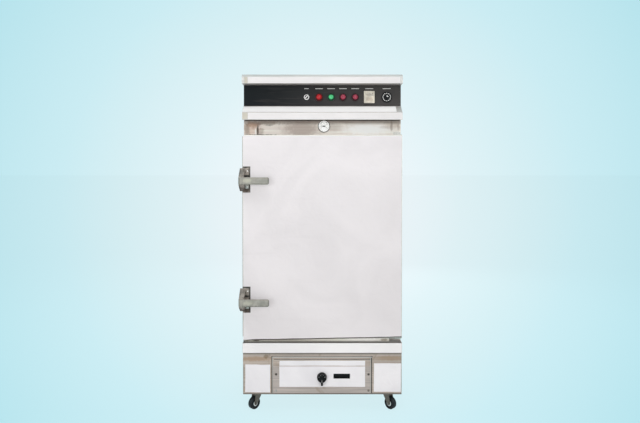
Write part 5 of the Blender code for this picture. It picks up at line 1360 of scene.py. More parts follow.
class Shop:
    """Makes the pieces: it gives each its material, its body and its place in the log."""

    def __init__(self, frame: dict) -> None:
        """Starts with the frame's nodes and no piece made.

        Args:
            frame: what the frame's loading gave.
        """
        self.nodes = frame["nodes"]
        self.finishes = Finishes()
        self.count = 0

    def add(
        self,
        name: str,
        bm: Shape,
        finish: str,
        slot: Slot,
        place: Point = (0.0, 0.0, 0.0),
        body: str = CABINET,
        facing: Facing | None = Facing.FRONT,
    ) -> None:
        """Adds one piece.

        Args:
            name: the piece's own name.
            bm: its shape, which is used up.
            finish: the name of its material.
            slot: the record's material slot; not used.
            place: where its origin goes, as a place of the cabinet.
            body: the frame's body that it rides on.
            facing: where its z axis looks, if it is turned.
        """
        if facing is not None:
            bmesh.ops.transform(bm, matrix=facing.turn(), verts=bm.verts)
        bmesh.ops.translate(bm, verts=bm.verts, vec=Datum.at(place))
        mesh = bpy.data.meshes.new(name)
        bm.to_mesh(mesh)
        bm.free()
        mesh.polygons.foreach_set("use_smooth", [True] * len(mesh.polygons))
        mesh.set_sharp_from_angle(angle=SHARP_EDGE)
        mesh.materials.append(self.finishes.get(finish))
        made = bpy.data.objects.new(name, mesh)
        bpy.context.scene.collection.objects.link(made)
        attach(made, body)
        self.count += 1
        LOG.info("made %s on %s, %s", name, body, finish)

    def film(self, film: Film) -> None:
        """Adds one film."""
        self.add(film.name, film.build(), film.finish, Slot.FILM, body=film.body, facing=None)

    def dress(self, finish: str, *names: str) -> None:
        """Gives frame nodes a finish.

        Args:
            finish: the name of the material.
            names: the nodes.
        """
        for name in names:
            for held in self.nodes[name].material_slots:
                held.material = self.finishes.get(finish)
            LOG.info("dressed %s in %s", name, finish)


# Outlines of the small turned pieces, as (radius, height) pairs.
SIDE_RIVET = (
    (0.0, 0.0), (0.0034, 0.0), (0.0034, 0.0002), (0.0027, 0.0008), (0.0012, 0.0011), (0.0, 0.0011)
)
LATCH_RIVET = (
    (0.0, 0.0), (0.0034, 0.0), (0.0034, 0.0003), (0.0026, 0.0011), (0.0012, 0.0015), (0.0, 0.0016)
)
SCREW_CAP = ((0.0, 0.0), (0.0040, 0.0), (0.0040, 0.0002), (0.0030, 0.0006), (0.0, 0.0007))
DIAL_FACE = ((0.0, 0.0), (0.0216, 0.0), (0.0216, 0.0001), (0.0, 0.0001))
DIAL_GLASS = (
    (0.0, 0.0), (0.0218, 0.0), (0.0218, 0.0003), (0.0150, 0.0009), (0.0070, 0.0012), (0.0, 0.0013)
)
KNOB_DOT = ((0.0, 0.0), (0.0011, 0.0), (0.0009, 0.0002), (0.0, 0.0003))
HUB_CAP = (
    (0.0, 0.0), (0.0120, 0.0), (0.0118, 0.0004), (0.0095, 0.0010),
    (0.0060, 0.0010), (0.0050, 0.0016), (0.0, 0.0018),
)
# The outline of the dial's hand, as (across, up) pairs.
DIAL_HAND = (
    (-0.0088, -0.0009), (-0.0088, 0.0009), (-0.0010, 0.0027),
    (0.0062, 0.0024), (0.0062, -0.0024), (-0.0010, -0.0027),
)


@dataclass
class Casing:
    """The outer sheets: cap, hood, front frame, gutter, sides and back."""

    half: float = 0.350
    hood_half: float = 0.351
    cap_half: float = 0.3523
    front: float = -0.050
    back: float = 0.5457
    film_start: float = -0.3262
    slope_low: tuple[float, float] = (-0.0496, 1.3203)
    slope_high: tuple[float, float] = (-0.0050, 1.3498)
    sill_left: float = -0.3440
    sill_right: float = 0.2960
    sill_reach: float = -0.0330
    bead_half: float = 0.3455
    bead: float = 0.0022
    bead_height: float = 1.2893
    screw: float = 0.0038
    rivet_rows: tuple[float, ...] = (0.13, 0.42, 0.72, 1.02, 1.30)
    rivet_columns: tuple[tuple[str, float], ...] = (("front", 0.018), ("rear", 0.528))

    def dress(self, shop: Shop) -> None:
        """Gives the sheets their steel.

        Args:
            shop: dresses the nodes.
        """
        shop.dress("front_steel", "face_frame")
        shop.dress("lip_steel", "top_cap", "hood_ledge", "drip_gutter")
        shop.dress("side_steel", "left_side_panel", "right_side_panel")
        shop.dress("back_steel", "back_panel")
        shop.dress("mineral_wool", "insulation_jacket")

    def build(self, shop: Shop) -> None:
        """Adds the films, folds, sill, a dark bead that paints the shadow under the hood's lip, rivets and
        screws.

        Args:
            shop: makes the pieces.
        """
        self.build_films(shop)
        self.build_folds(shop)
        self.build_sill(shop)
        # A dark bead under the hood's lip paints the shadow line there.
        bead = tube([(-self.bead_half, 0.0, 0.0), (self.bead_half, 0.0, 0.0)], self.bead)
        place = (0.0, -self.bead - HAIR, self.bead_height)
        shop.add("header_shadow_bead", bead, "grime", Slot.RUBBER, place, facing=None)
        self.build_rivets(shop)
        self.build_screws(shop)

    def build_films(self, shop: Shop) -> None:
        """Adds the films left on the cap, the hood and the gutter.

        Args:
            shop: makes the pieces.
        """
        y, h = self.front, self.hood_half - 0.0006
        start, end = self.film_start, self.cap_half - 0.012
        low, high = self.slope_low, self.slope_high
        cap = ((start, y, 1.4458), (end, y, 1.4462), (end, y, 1.4750), (start, y, 1.4744))
        slope = ((-h, *low), (0.3265, *low), (0.3275, *high), (-h, *high))
        lip = ((start, y, 1.2890), (h, y, 1.2892), (h, y, 1.3186), (start, y, 1.3184))
        gutter = ((-h, y, 0.2622), (h, y, 0.2624), (h, y, 0.3061), (-h, y, 0.3056))
        shop.film(Film("cap_lip_film", cap, "lip_film", seed=3.1, folds=((0.02, 0.012, 0.0006),)))
        fold = (0.99, 0.006, 0.0010)
        shop.film(Film("hood_slope_film", slope, "slope_film", seed=7.4, ripple=0.0005, folds=(fold,)))
        shop.film(Film("hood_lip_film", lip, "lip_film", seed=9.2, ripple=0.0004))
        shop.film(Film("gutter_film", gutter, seed=12.7, ripple=0.0005))

    def build_folds(self, shop: Shop) -> None:
        """Adds the bare cream folds at the left ends of the cap's and the hood's lips.

        Args:
            shop: makes the pieces.
        """
        y, edge = self.front, self.film_start - 0.0012
        cap, hood = self.cap_half - 0.011, self.hood_half - 0.001
        ends = (("cap_end_fold", 1.4462, 1.4745, cap), ("hood_end_fold", 1.2893, 1.3183, hood))
        for name, low, high, half in ends:
            corners = ((-half, y, low), (edge, y, low), (edge, y, high), (-half, y, high))
            shop.film(Film(name, corners, "bare_fold", ripple=0.0002, ragged=0.0004, step=0.006, seed=low))

    def build_sill(self, shop: Shop) -> None:
        """Adds the bent drip sill that leads water from under the door into the gutter.

        Args:
            shop: makes the pieces.
        """
        reach = self.sill_reach
        profile = (
            (0.0, 0.3252), (reach, 0.3248), (reach - 0.0012, 0.3236), (reach - 0.0032, 0.3074),
            (reach - 0.0020, 0.3072), (reach, 0.3228), (reach + 0.0010, 0.3236), (0.0, 0.3240),
        )
        sill = plate(profile, self.sill_right - self.sill_left)
        lay = Matrix(((0, 0, 1, self.sill_left), (1, 0, 0, 0), (0, 1, 0, 0), (0, 0, 0, 1)))
        bmesh.ops.transform(sill, matrix=lay, verts=sill.verts)
        bmesh.ops.recalc_face_normals(sill, faces=sill.faces)
        shop.add("drip_sill", sill, "sill_steel", Slot.SHEET, (0.0, -HAIR, 0.0), facing=None)

    def build_rivets(self, shop: Shop) -> None:
        """Adds rivets up the sides.

        Args:
            shop: makes the pieces.
        """
        for word, side, way in (("left", -1, Facing.LEFT), ("right", 1, Facing.RIGHT)):
            for row, z in enumerate(self.rivet_rows, 1):
                for end, y in self.rivet_columns:
                    name, place = f"{word}_{end}_rivet_{row}", (side * self.half, y, z)
                    rivet = revolve(SIDE_RIVET, 20)
                    shop.add(name, rivet, "bright_metal", Slot.BRIGHT, place, facing=way)

    def build_screws(self, shop: Shop) -> None:
        """Adds cross-head screws round the back panel.

        Args:
            shop: makes the pieces.
        """
        places = [(x, z) for z in (0.125, 0.62, 1.30) for x in (-0.325, 0.325)]
        places += [(x, 1.40) for x in (-0.17, 0.17)]
        for index, (x, z) in enumerate(places, 1):
            name, place = f"back_screw_{index}", (x, self.back + HAIR, z)
            shop.add(name, self.screw_head(), "bright_metal", Slot.BRIGHT, place, facing=Facing.BACK)

    def screw_head(self) -> Shape:
        """Makes a pan head with a hollow and a cross in it.

        Returns:
            The head.
        """
        r = self.screw
        rim = ((0.0, 0.0), (r, 0.0), (r, 0.0004), (r * 0.86, 0.0011))
        hollow = ((r * 0.55, 0.0014), (r * 0.50, 0.0010), (r * 0.30, 0.0006), (0.0, 0.0006))
        bars = []
        for angle in (20, 110):
            arm = turned(block((r * 0.9, r * 0.12, 0.0003), 0.00005), math.radians(angle))
            bars.append(shifted(arm, (0.0, 0.0, 0.0007)))
        return joined([revolve((*rim, *hollow), 24), *bars])


@dataclass
class ControlFascia:
    """The black panel with its marks, lamps, selector, temperature controller and timer."""

    face: float = 0.0
    height: float = 1.392
    label_height: float = 1.4300
    selector_x: float = -0.0704
    controller_x: float = 0.209
    window_depth: float = 0.0011
    timer_x: float = 0.2868
    timer_skirt: float = 0.0052
    timer_dashes: int = 12
    timer_ring: float = 0.0166
    # Each lamp's name, place across, lens radius, finish and slot.
    lamps: tuple[tuple[str, float, float, str, Slot], ...] = (
        ("heating", -0.0147, 0.0140, "red_lens", Slot.RED),
        ("ready", 0.0392, 0.0120, "green_lens", Slot.GREEN),
        ("water_low", 0.0922, 0.0130, "crimson_lens", Slot.CRIMSON),
        ("power", 0.1466, 0.0130, "crimson_lens", Slot.CRIMSON),
    )

    def dress(self, shop: Shop) -> None:
        """Gives the panel and what stands on it their plastics and paint.

        Args:
            shop: dresses the nodes.
        """
        shop.dress("panel_paint", "control_panel")
        shop.dress("dial_white", "selector_switch")
        shop.dress("cream_plastic", "temperature_controller")
        shop.dress("board_plastic", "contactor_board")
        shop.dress("red_rim", "heating_lamp")
        shop.dress("green_rim", "ready_lamp")
        shop.dress("crimson_rim", "water_low_lamp", "power_lamp")
        shop.dress("black_plastic", "selector_knob", "timer_knob")

    def build(self, shop: Shop) -> None:
        """Adds marks, lenses, printed scales and pointers.

        Args:
            shop: makes the pieces.
        """
        self.build_marks(shop)
        self.build_lamps(shop)
        self.build_selector(shop)
        self.build_controller(shop)
        self.build_timer(shop)

    def build_marks(self, shop: Shop) -> None:
        """Adds short printed lines over the controls, in place of words.

        Args:
            shop: makes the pieces.
        """
        lamps = [(lamp[1], 0.034) for lamp in self.lamps]
        spans = [(self.selector_x, 0.020), *lamps, (self.controller_x, 0.036), (self.timer_x, 0.036)]
        for index, (x, width) in enumerate(spans, 1):
            line = block((width, 0.0024, 0.0002), 0.00005)
            place = (x, self.face - HAIR, self.label_height)
            shop.add(f"panel_mark_{index}", line, "white_ink", Slot.WHITE, place)

    def build_lamps(self, shop: Shop) -> None:
        """Adds a cut lens and a dark collar on each pilot lamp.

        Args:
            shop: makes the pieces.
        """
        for name, x, radius, finish, slot in self.lamps:
            place = (x, Datum.front_of(f"{name}_lamp") - 0.0002, self.height)
            inner, angles = radius * 0.86, [math.radians(a) for a in range(0, 90, 15)]
            curve = [(inner * math.cos(a), 0.0002 + 0.0034 * math.sin(a)) for a in angles]
            shop.add(f"{name}_lens", revolve([(0.0, 0.0), *curve, (0.0, 0.0036)], 36), finish, slot, place)
            shop.add(f"{name}_collar", ring(radius * 0.93, 0.0006), "black_plastic", Slot.BLACK, place)

    def build_selector(self, shop: Shop) -> None:
        """Adds the white pointer line on the selector's knob.

        Args:
            shop: makes the pieces.
        """
        place = (self.selector_x, Datum.front_of("selector_knob") - HAIR, self.height)
        pointer = turned(block((0.0145, 0.0042, 0.0003), 0.0001), math.radians(45))
        shop.add("selector_pointer", pointer, "white_ink", Slot.WHITE, place, "selector")

    def build_controller(self, shop: Shop) -> None:
        """Adds the scale, its numbers, the lines under it and the window of the temperature controller.

        Args:
            shop: makes the pieces.
        """
        x, z = self.controller_x, self.height
        front = Datum.front_of("temperature_controller")
        inside = front + self.window_depth
        talls = [0.0042 if step % 4 == 0 else 0.0026 for step in range(9)]
        ticks = [bar((0.0008, t, 0.0002), -0.014 + 0.0035 * step, t / 2) for step, t in enumerate(talls)]
        scale = joined([bar((0.029, 0.0016, 0.0002)), *ticks])
        shop.add("controller_scale", scale, "brown_ink", Slot.CREAM, (x, inside, z + 0.0095))
        for words, along in (("0", -0.0140), ("50", 0.0), ("100", 0.0135)):
            place = (x + along, inside, z + 0.0165)
            shop.add(f"controller_number_{words}", lettering(words, 0.0052), "brown_ink", Slot.CREAM, place)
        rows = joined([bar((0.030, 0.0012, 0.0002), 0.0, -0.0045 * row) for row in range(3)])
        shop.add("controller_lines", rows, "brown_ink", Slot.CREAM, (x, front - HAIR, z - 0.0050))
        window = block((0.0372, 0.0152, 0.0006), 0.0002)
        shop.add("controller_window", window, "dial_glass", Slot.CREAM, (x, front + 0.0006, z + 0.0120))

    def build_timer(self, shop: Shop) -> None:
        """Adds the dashed ring on the timer's skirt and the mark on its grip.

        Args:
            shop: makes the pieces.
        """
        dashes = [
            turned(bar((0.0054, 0.0034, 0.0002), up=self.timer_ring), math.tau * step / self.timer_dashes)
            for step in range(self.timer_dashes)
        ]
        skirt = (self.timer_x, self.face - self.timer_skirt, self.height)
        shop.add("timer_ring", joined(dashes), "white_ink", Slot.WHITE, skirt, "timer")
        strokes = [
            bar((0.0030, 0.0060, 0.0003), up=0.0030, soft=0.0001),
            bar((0.0050, 0.0028, 0.0003), across=0.0034, soft=0.0001),
        ]
        grip = (self.timer_x, Datum.front_of("timer_knob") - HAIR, self.height)
        shop.add("timer_pointer", joined(strokes), "white_ink", Slot.WHITE, grip, "timer")


@dataclass
class Thermometer:
    """The dial thermometer on the header: face, scale, hand, glass and rim."""

    x: float = 0.0076
    z: float = 1.262
    dial_front: float = -0.0072
    rim: float = 0.0243
    printed: float = 0.00005
    tick_radius: float = 0.0165
    number_radius: float = 0.0118

    def dress(self, shop: Shop) -> None:
        """Gives the case and the needle their finishes."""
        shop.dress("white_enamel", "thermometer_case")
        shop.dress("black_plastic", "thermometer_needle")

    def build(self, shop: Shop) -> None:
        """Adds the dial, then its hand, what covers it, and a dark ring that paints the rim's shadow on the
        header.

        Args:
            shop: makes the pieces.
        """
        self.build_dial(shop)
        x, z = self.x, self.z
        hand = plate(DIAL_HAND, 0.0003, 0.0001)
        place = (x, Datum.front_of("thermometer_needle") - 0.00005, z)
        shop.add("thermometer_hand", hand, "black_plastic", Slot.BLACK, place, "needle")
        front = Datum.front_of("thermometer_case")
        glass = revolve(DIAL_GLASS, 40)
        shop.add("thermometer_glass", glass, "dial_glass", Slot.WHITE, (x, front + 0.0014, z))
        bezel = ring(self.rim - 0.0012, 0.0011, segments=48, sides=10, flat=0.6)
        shop.add("thermometer_bezel", bezel, "dial_white", Slot.BRIGHT, (x, front + 0.0004, z))
        # A dark ring round the rim paints its shadow on the header.
        shadow_ring = ring(self.rim + 0.0014, 0.0014, segments=48, sides=8, flat=0.5)
        shop.add("thermometer_shadow_ring", shadow_ring, "grime", Slot.RUBBER, (x, -HAIR, z))

    def build_dial(self, shop: Shop) -> None:
        """Adds the white face with its ticks, bands and numbers.

        Args:
            shop: makes the pieces.
        """
        x, y, z = self.x, self.dial_front, self.z
        shop.add("thermometer_face", revolve(DIAL_FACE, 48), "dial_white", Slot.WHITE, (x, y + 0.00005, z))
        y -= 0.00004
        ticks = []
        for step in range(21):
            wide, tall = (0.0009, 0.0036) if step % 5 == 0 else (0.0005, 0.0020)
            tick = bar((wide, tall, self.printed), up=self.tick_radius, soft=0.0)
            ticks.append(turned(tick, math.radians(120 - 12 * step)))
        shop.add("thermometer_ticks", joined(ticks), "black_ink", Slot.WHITE, (x, y, z))
        bands = [self.band(0.0186, 0.0205, start, end) for start, end in ((100, 142), (38, 82))]
        shop.add("thermometer_arc", joined(bands), "black_ink", Slot.WHITE, (x, y, z))
        for step, words in enumerate(("0", "25", "50", "75", "100")):
            angle = math.radians(210 - 60 * step)
            place = (x + self.number_radius * math.cos(angle), y, z + self.number_radius * math.sin(angle))
            number = lettering(words, 0.0046, self.printed)
            shop.add(f"thermometer_number_{words}", number, "black_ink", Slot.WHITE, place)

    def band(self, inner: float, outer: float, start: float, end: float) -> Shape:
        """Makes a printed part of a ring.

        Args:
            inner: its inner radius.
            outer: its outer radius.
            start: the angle where it starts, in degrees.
            end: the angle where it ends.

        Returns:
            The band.
        """
        steps = [math.radians(start + (end - start) * i / 12) for i in range(13)]
        outline = [(outer * math.cos(a), outer * math.sin(a)) for a in steps]
        outline += [(inner * math.cos(a), inner * math.sin(a)) for a in reversed(steps)]
        return plate(outline, self.printed)


@dataclass
class Door:
    """The door's skin, its film, the seal and the two latches."""

    left: float = -0.3478
    right: float = 0.3488
    top: float = 1.2178
    low_left: float = 0.3210
    low_right: float = 0.3345
    front: float = -0.050
    edge_line: float = 0.880
    latch_heights: tuple[float, float] = LATCH_HEIGHTS
    plate_left: float = -0.350
    plate_right: float = -0.317
    plate_front: float = -0.053
    # Each rivet's place across and up from the latch plate's middle, and its finish.
    rivets: tuple[tuple[float, float, str], ...] = (
        # The first rivet's white enamel paints a glint on the plate.
        (0.0062, 0.0380, "white_enamel"),
        (-0.0050, 0.0330, "dark_screw"),
        (0.0062, -0.0470, "dark_screw"),
    )

    def dress(self, shop: Shop) -> None:
        """Gives the door's parts and the latches their finishes.

        Args:
            shop: dresses the nodes.
        """
        shop.dress("door_steel", "door_outer")
        shop.dress("liner_steel", "door_inner")
        shop.dress("foam", "door_core")
        shop.dress("seal_silicone", "door_gasket")
        shop.dress("hinge_steel", "top_hinge", "bottom_hinge")
        shop.dress("strike_steel", "upper_latch_strike", "lower_latch_strike")
        shop.dress("latch_plate", "upper_latch_plate", "lower_latch_plate")
        shop.dress("lever_alloy", "upper_latch_lever", "lower_latch_lever")

    def build(self, shop: Shop) -> None:
        """Adds the film, the dark line at the door's left edge, a dark strip that paints the shadow along
        its lower edge, and the latches' small pieces.

        Args:
            shop: makes the pieces.
        """
        y, low_left, low_right = self.front, self.low_left, self.low_right
        corners = (
            (self.left, y, low_left), (self.right, y, low_right),
            (self.right, y, self.top), (self.left, y, self.top),
        )
        curl = Curl(0.0, 0.0, 0.055, 0.0065)
        shop.film(Film(
            "door_film", corners, "door_film", DOOR,
            ripple=0.0006, ragged=0.0008, step=0.011, seed=5.0, curls=(curl,),
        ))
        line = block((0.0015, self.edge_line, 0.0001), 0.0)
        place = (-0.34925, y - 0.00002, low_right + self.edge_line / 2)
        shop.add("door_edge_line", line, "joint_dirt", Slot.RUBBER, place, DOOR)
        # A dark strip along the door's lower edge paints the shadow line there.
        outline = (
            (self.left, 0.3174), (self.right, 0.3309), (self.right, 0.3375),
            (0.0, 0.3310), (self.left, 0.3310),
        )
        shop.add("door_shadow_strip", plate(outline, 0.00012), "grime", Slot.RUBBER, (0.0, y - 0.00002, 0.0), DOOR)
        for word, z in zip(("upper", "lower"), self.latch_heights):
            self.build_latch(shop, word, z)

    def build_latch(self, shop: Shop, word: str, z: float) -> None:
        """Adds the packing behind a latch's plate, its rivets and its dirty square.

        Args:
            shop: makes the pieces.
            word: which latch it is.
            z: its height.
        """
        width = self.plate_right - self.plate_left
        middle = (self.plate_left + self.plate_right) / 2
        packing = block((width + 0.0012, 0.1145, 0.0007), 0.0002)
        place = (middle + 0.0009, self.front - 0.0004, z + 0.0006)
        shop.add(f"{word}_latch_packing", packing, "grime", Slot.RUBBER, place, DOOR)
        for index, (dx, dz, finish) in enumerate(self.rivets, 1):
            name, place = f"{word}_latch_rivet_{index}", (middle + dx, self.plate_front - HAIR, z + dz)
            shop.add(name, revolve(LATCH_RIVET, 20), finish, Slot.BRIGHT, place, DOOR)
        square = ((-0.0085, -0.0105), (0.0085, -0.0105), (0.0085, 0.0105), (-0.0085, 0.0105))
        tab = plate(square, 0.0006, 0.0002)
        place = (middle + 0.002, self.plate_front - 0.00005, z - 0.0280)
        shop.add(f"{word}_latch_tab", tab, "hinge_steel", Slot.BRIGHT, place, DOOR)


@dataclass
class Base:
    """The base front with its films, the access cover, the gas knob, the slot and the casters."""

    front: float = -0.045
    cover_left: float = -0.2184
    cover_right: float = 0.2184
    cover_top: float = 0.2418
    cover_low: float = 0.0830
    # The cover's film: its left and lower edges, its width and its height.
    film_box: tuple[float, float, float, float] = (-0.1902, 0.1092, 0.3797, 0.0926)
    # Each screw's place across, its height and its finish.
    screws: tuple[tuple[float, float, str], ...] = (
        (-0.204, 0.1657, "dark_screw"),
        (0.204, 0.1657, "dark_screw"),
        (-0.204, 0.0937, "hinge_steel"),
        (0.204, 0.0937, "strike_steel"),
    )
    knob_x: float = -0.0017
    knob_z: float = 0.1534
    knob_body: float = 0.0203
    knob_radius: float = 0.0145
    slot_x: float = 0.0859
    slot_z: float = 0.1577
    # Each caster's name and the degrees that its axle is turned by.
    casters: tuple[tuple[str, float], ...] = (
        ("front_left", -135.0),
        ("front_right", -45.0),
        ("rear_left", 60.0),
        ("rear_right", 120.0),
    )
    hub_half: float = 0.01105

    def dress(self, shop: Shop) -> None:
        """Gives the base, the works under it and the casters their finishes.

        Args:
            shop: dresses the nodes.
        """
        shop.dress("base_steel", "base_front")
        shop.dress("cover_steel", "access_cover")
        shop.dress("chassis_steel", "chassis")
        shop.dress("black_plastic", "gas_knob")
        shop.dress("cast_iron", "gas_burner")
        shop.dress("brass", "drain_valve", "inlet_valve", "float_arm")
        shop.dress("latch_alloy", "drain_lever")
        shop.dress("heater_metal", "heating_element")
        for word, _ in self.casters:
            shop.dress("fork_steel", f"{word}_caster_fork")
            shop.dress("wheel_rubber", f"{word}_caster_wheel")

    def build(self, shop: Shop) -> None:
        """Adds the films and the small pieces.

        Args:
            shop: makes the pieces.
        """
        self.build_films(shop)
        self.build_frame(shop)
        self.build_screws(shop)
        self.build_knob(shop)
        self.build_slot(shop)
        self.build_casters(shop)

    def build_films(self, shop: Shop) -> None:
        """Adds the films on the base front and on the cover.

        Args:
            shop: makes the pieces.
        """
        y = self.front
        left = ((-0.3415, y, 0.0860), (-0.2300, y, 0.0846), (-0.2292, y, 0.2092), (-0.3402, y, 0.2104))
        right = ((0.2265, y, 0.0880), (0.3478, y, 0.0868), (0.3484, y, 0.2150), (0.2272, y, 0.2156))
        cover = ((-0.1902, y, 0.1092), (0.1895, y, 0.1092), (0.1895, y, 0.2018), (-0.1902, y, 0.2018))
        strip = ((-0.1905, y, 0.2028), (0.1893, y, 0.2028), (0.1898, y, 0.2270), (-0.1896, y, 0.2266))
        holes = (
            self.hole(self.slot_x, self.slot_z, 0.0366, 0.0104),
            self.hole(self.knob_x, self.knob_z, self.knob_radius, self.knob_radius),
        )
        shop.film(Film("base_left_film", left, "base_film", seed=1.7))
        shop.film(Film("base_right_film", right, "base_film", seed=2.9))
        shop.film(Film("cover_film", cover, "base_film", seed=4.3, holes=holes))
        shop.film(Film("strip_film", strip, "base_film", seed=6.6))

    def hole(
        self, x: float, z: float, half_width: float, half_height: float
    ) -> tuple[float, float, float, float]:
        """Places a hole in the cover's film.

        Args:
            x: the middle of the hole.
            z: its height.
            half_width: half of its width.
            half_height: half of its height.

        Returns:
            Its left, right, lower and upper edges as shares of the film's width and height.
        """
        left, low, width, tall = self.film_box
        across = (x - half_width - left) / width, (x + half_width - left) / width
        return (*across, (z - half_height - low) / tall, (z + half_height - low) / tall)

    def build_frame(self, shop: Shop) -> None:
        """Adds the folded lip round the cover with the dark joint beside it, and a dark line that paints
        the shadow under the fold.

        Args:
            shop: makes the pieces.
        """
        left, right, top = self.cover_left, self.cover_right, self.cover_top
        wide, mid, tall = right - left, (top + self.cover_low) / 2, top - self.cover_low
        beside, y = mid + 0.0020, self.front - HAIR
        lips = (
            ("top", (wide, 0.0034), (0.0, top)),
            ("left", (0.0020, tall), (left - 0.0006, mid)),
            ("right", (0.0020, tall), (right - 0.0046, mid)),
            ("fold", (wide - 0.010, 0.0012), (0.0, 0.2296)),
        )
        joints = (
            ((wide + 0.010, 0.0026), (0.0, top + 0.0036), "joint_dirt"),
            ((0.0056, tall + 0.0040), (left - 0.0046, beside), "joint_dirt"),
            ((0.0040, tall + 0.0040), (right - 0.0012, beside), "grime"),
            # Under the fold, this dark line paints the fold's shadow.
            ((wide - 0.010, 0.0034), (0.0, 0.2322), "joint_dirt"),
        )
        for (word, size, (x, z)), (joint_size, (joint_x, joint_z), look) in zip(lips, joints):
            lip = block((*size, 0.0011), 0.0004)
            shop.add(f"cover_lip_{word}", lip, "lip_steel", Slot.SHEET, (x, y, z))
            joint = block((*joint_size, 0.0004), 0.0001)
            shop.add(f"cover_joint_{word}", joint, look, Slot.RUBBER, (joint_x, y, joint_z))

    def build_screws(self, shop: Shop) -> None:
        """Adds washers, caps and slots on the cover's screws.

        Args:
            shop: makes the pieces.
        """
        for index, (x, z, finish) in enumerate(self.screws):
            cut = turned(block((0.0056, 0.0010, 0.0003), 0.00008), math.radians(25 + 50 * index))
            for word, shape, lift, look, slot in (
                ("washer", ring(0.0046, 0.0006, segments=28, sides=8, flat=0.6), HAIR, finish, Slot.BRIGHT),
                ("screw_cap", revolve(SCREW_CAP, 24), 0.0019, finish, Slot.BRIGHT),
                ("screw_slot", cut, 0.0025, "black_ink", Slot.DARK),
            ):
                shop.add(f"cover_{word}_{index + 1}", shape, look, slot, (x, self.front - lift, z))

    def build_knob(self, shop: Shop) -> None:
        """Adds the marks on the gas knob.

        Args:
            shop: makes the pieces.
        """
        line = bar((0.0022, 0.0120, 0.0003), up=-0.0100, soft=0.0001)
        place = (self.knob_x, Datum.front_of("gas_knob") - HAIR, self.knob_z)
        shop.add("gas_knob_line", line, "grey_ink", Slot.WHITE, place, "gas_control")
        r = self.knob_radius
        angles = (0.5, 1.2, 1.94, 2.64)
        dots = [shifted(revolve(KNOB_DOT, 12), (r * math.cos(a), r * math.sin(a), 0.0)) for a in angles]
        place = (self.knob_x, self.front - self.knob_body, self.knob_z)
        shop.add("gas_knob_dots", joined(dots), "white_ink", Slot.WHITE, place, "gas_control")

    def build_slot(self, shop: Shop) -> None:
        """Adds the rubber lip round the sight slot and the dark guard behind it.

        Args:
            shop: makes the pieces.
        """
        half, tall = 0.0359, 0.00975
        corners = [(-half, -tall, 0.0), (half, -tall, 0.0), (half, tall, 0.0), (-half, tall, 0.0)]
        lip = tube([*corners, corners[0]], 0.0009)
        place = (self.slot_x, self.front - 0.0007, self.slot_z)
        shop.add("slot_lip", lip, "black_plastic", Slot.BLACK, place)
        rib = shifted(block((0.058, 0.0026, 0.0006), 0.0002), (0.0, 0.0012, 0.0011))
        guard = joined([block((0.078, 0.025, 0.0012), 0.0004), rib])
        place = (self.slot_x, self.front + 0.0050, self.slot_z)
        shop.add("slot_guard", guard, "slot_black", Slot.BLACK, place)

    def build_casters(self, shop: Shop) -> None:
        """Adds hub caps on the wheels.

        Args:
            shop: makes the pieces.
        """
        for word, heading in self.casters:
            low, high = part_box(f"{word}_caster_wheel")
            middle = (low + high) / 2 - Datum.origin
            caps = []
            for side in (-1, 1):
                cap = turned(revolve(HUB_CAP, 28), math.radians(-90 * side), "X")
                caps.append(shifted(cap, (0.0, side * self.hub_half, 0.0)))
            hub = turned(joined(caps), math.radians(heading))
            name, body = f"{word}_hub_caps", f"{word}_wheel"
            shop.add(name, hub, "bright_metal", Slot.BRIGHT, tuple(middle), body, facing=None)


@dataclass
class Interior:
    """What the open door shows: liner, racks, trays, tank and vent."""

    # The levels that the frame's own trays are on, counted up from 0.
    filled: tuple[int, ...] = (1, 3, 5, 7, 9)
    levels: int = 12
    spacing: float = 0.0665

    def dress(self, shop: Shop) -> None:
        """Gives the cavity's parts their finishes.

        Args:
            shop: dresses the nodes.
        """
        shop.dress("liner_steel", "inner_liner", "steam_vent")
        shop.dress("rack_steel", "left_tray_rack", "right_tray_rack")
        shop.dress("tank_steel", "water_tank")
        shop.dress("tray_steel", *(f"tray_{n}" for n in range(1, 6)))

    def build(self, shop: Shop) -> None:
        """Adds the trays on the runners that the frame leaves empty.

        Args:
            shop: makes the pieces.
        """
        pattern = shop.nodes["tray_1"]
        free = [level for level in range(self.levels) if level not in self.filled]
        for index, level in enumerate(free, 1):
            bm = bmesh.new()
            bm.from_mesh(pattern.data)
            rise = (level - self.filled[0]) * self.spacing
            shifted(bm, Vector((0.0, 0.0, rise)) - Datum.origin)
            shop.add(f"fixed_tray_{index}", bm, "tray_steel", Slot.BRIGHT, facing=None)


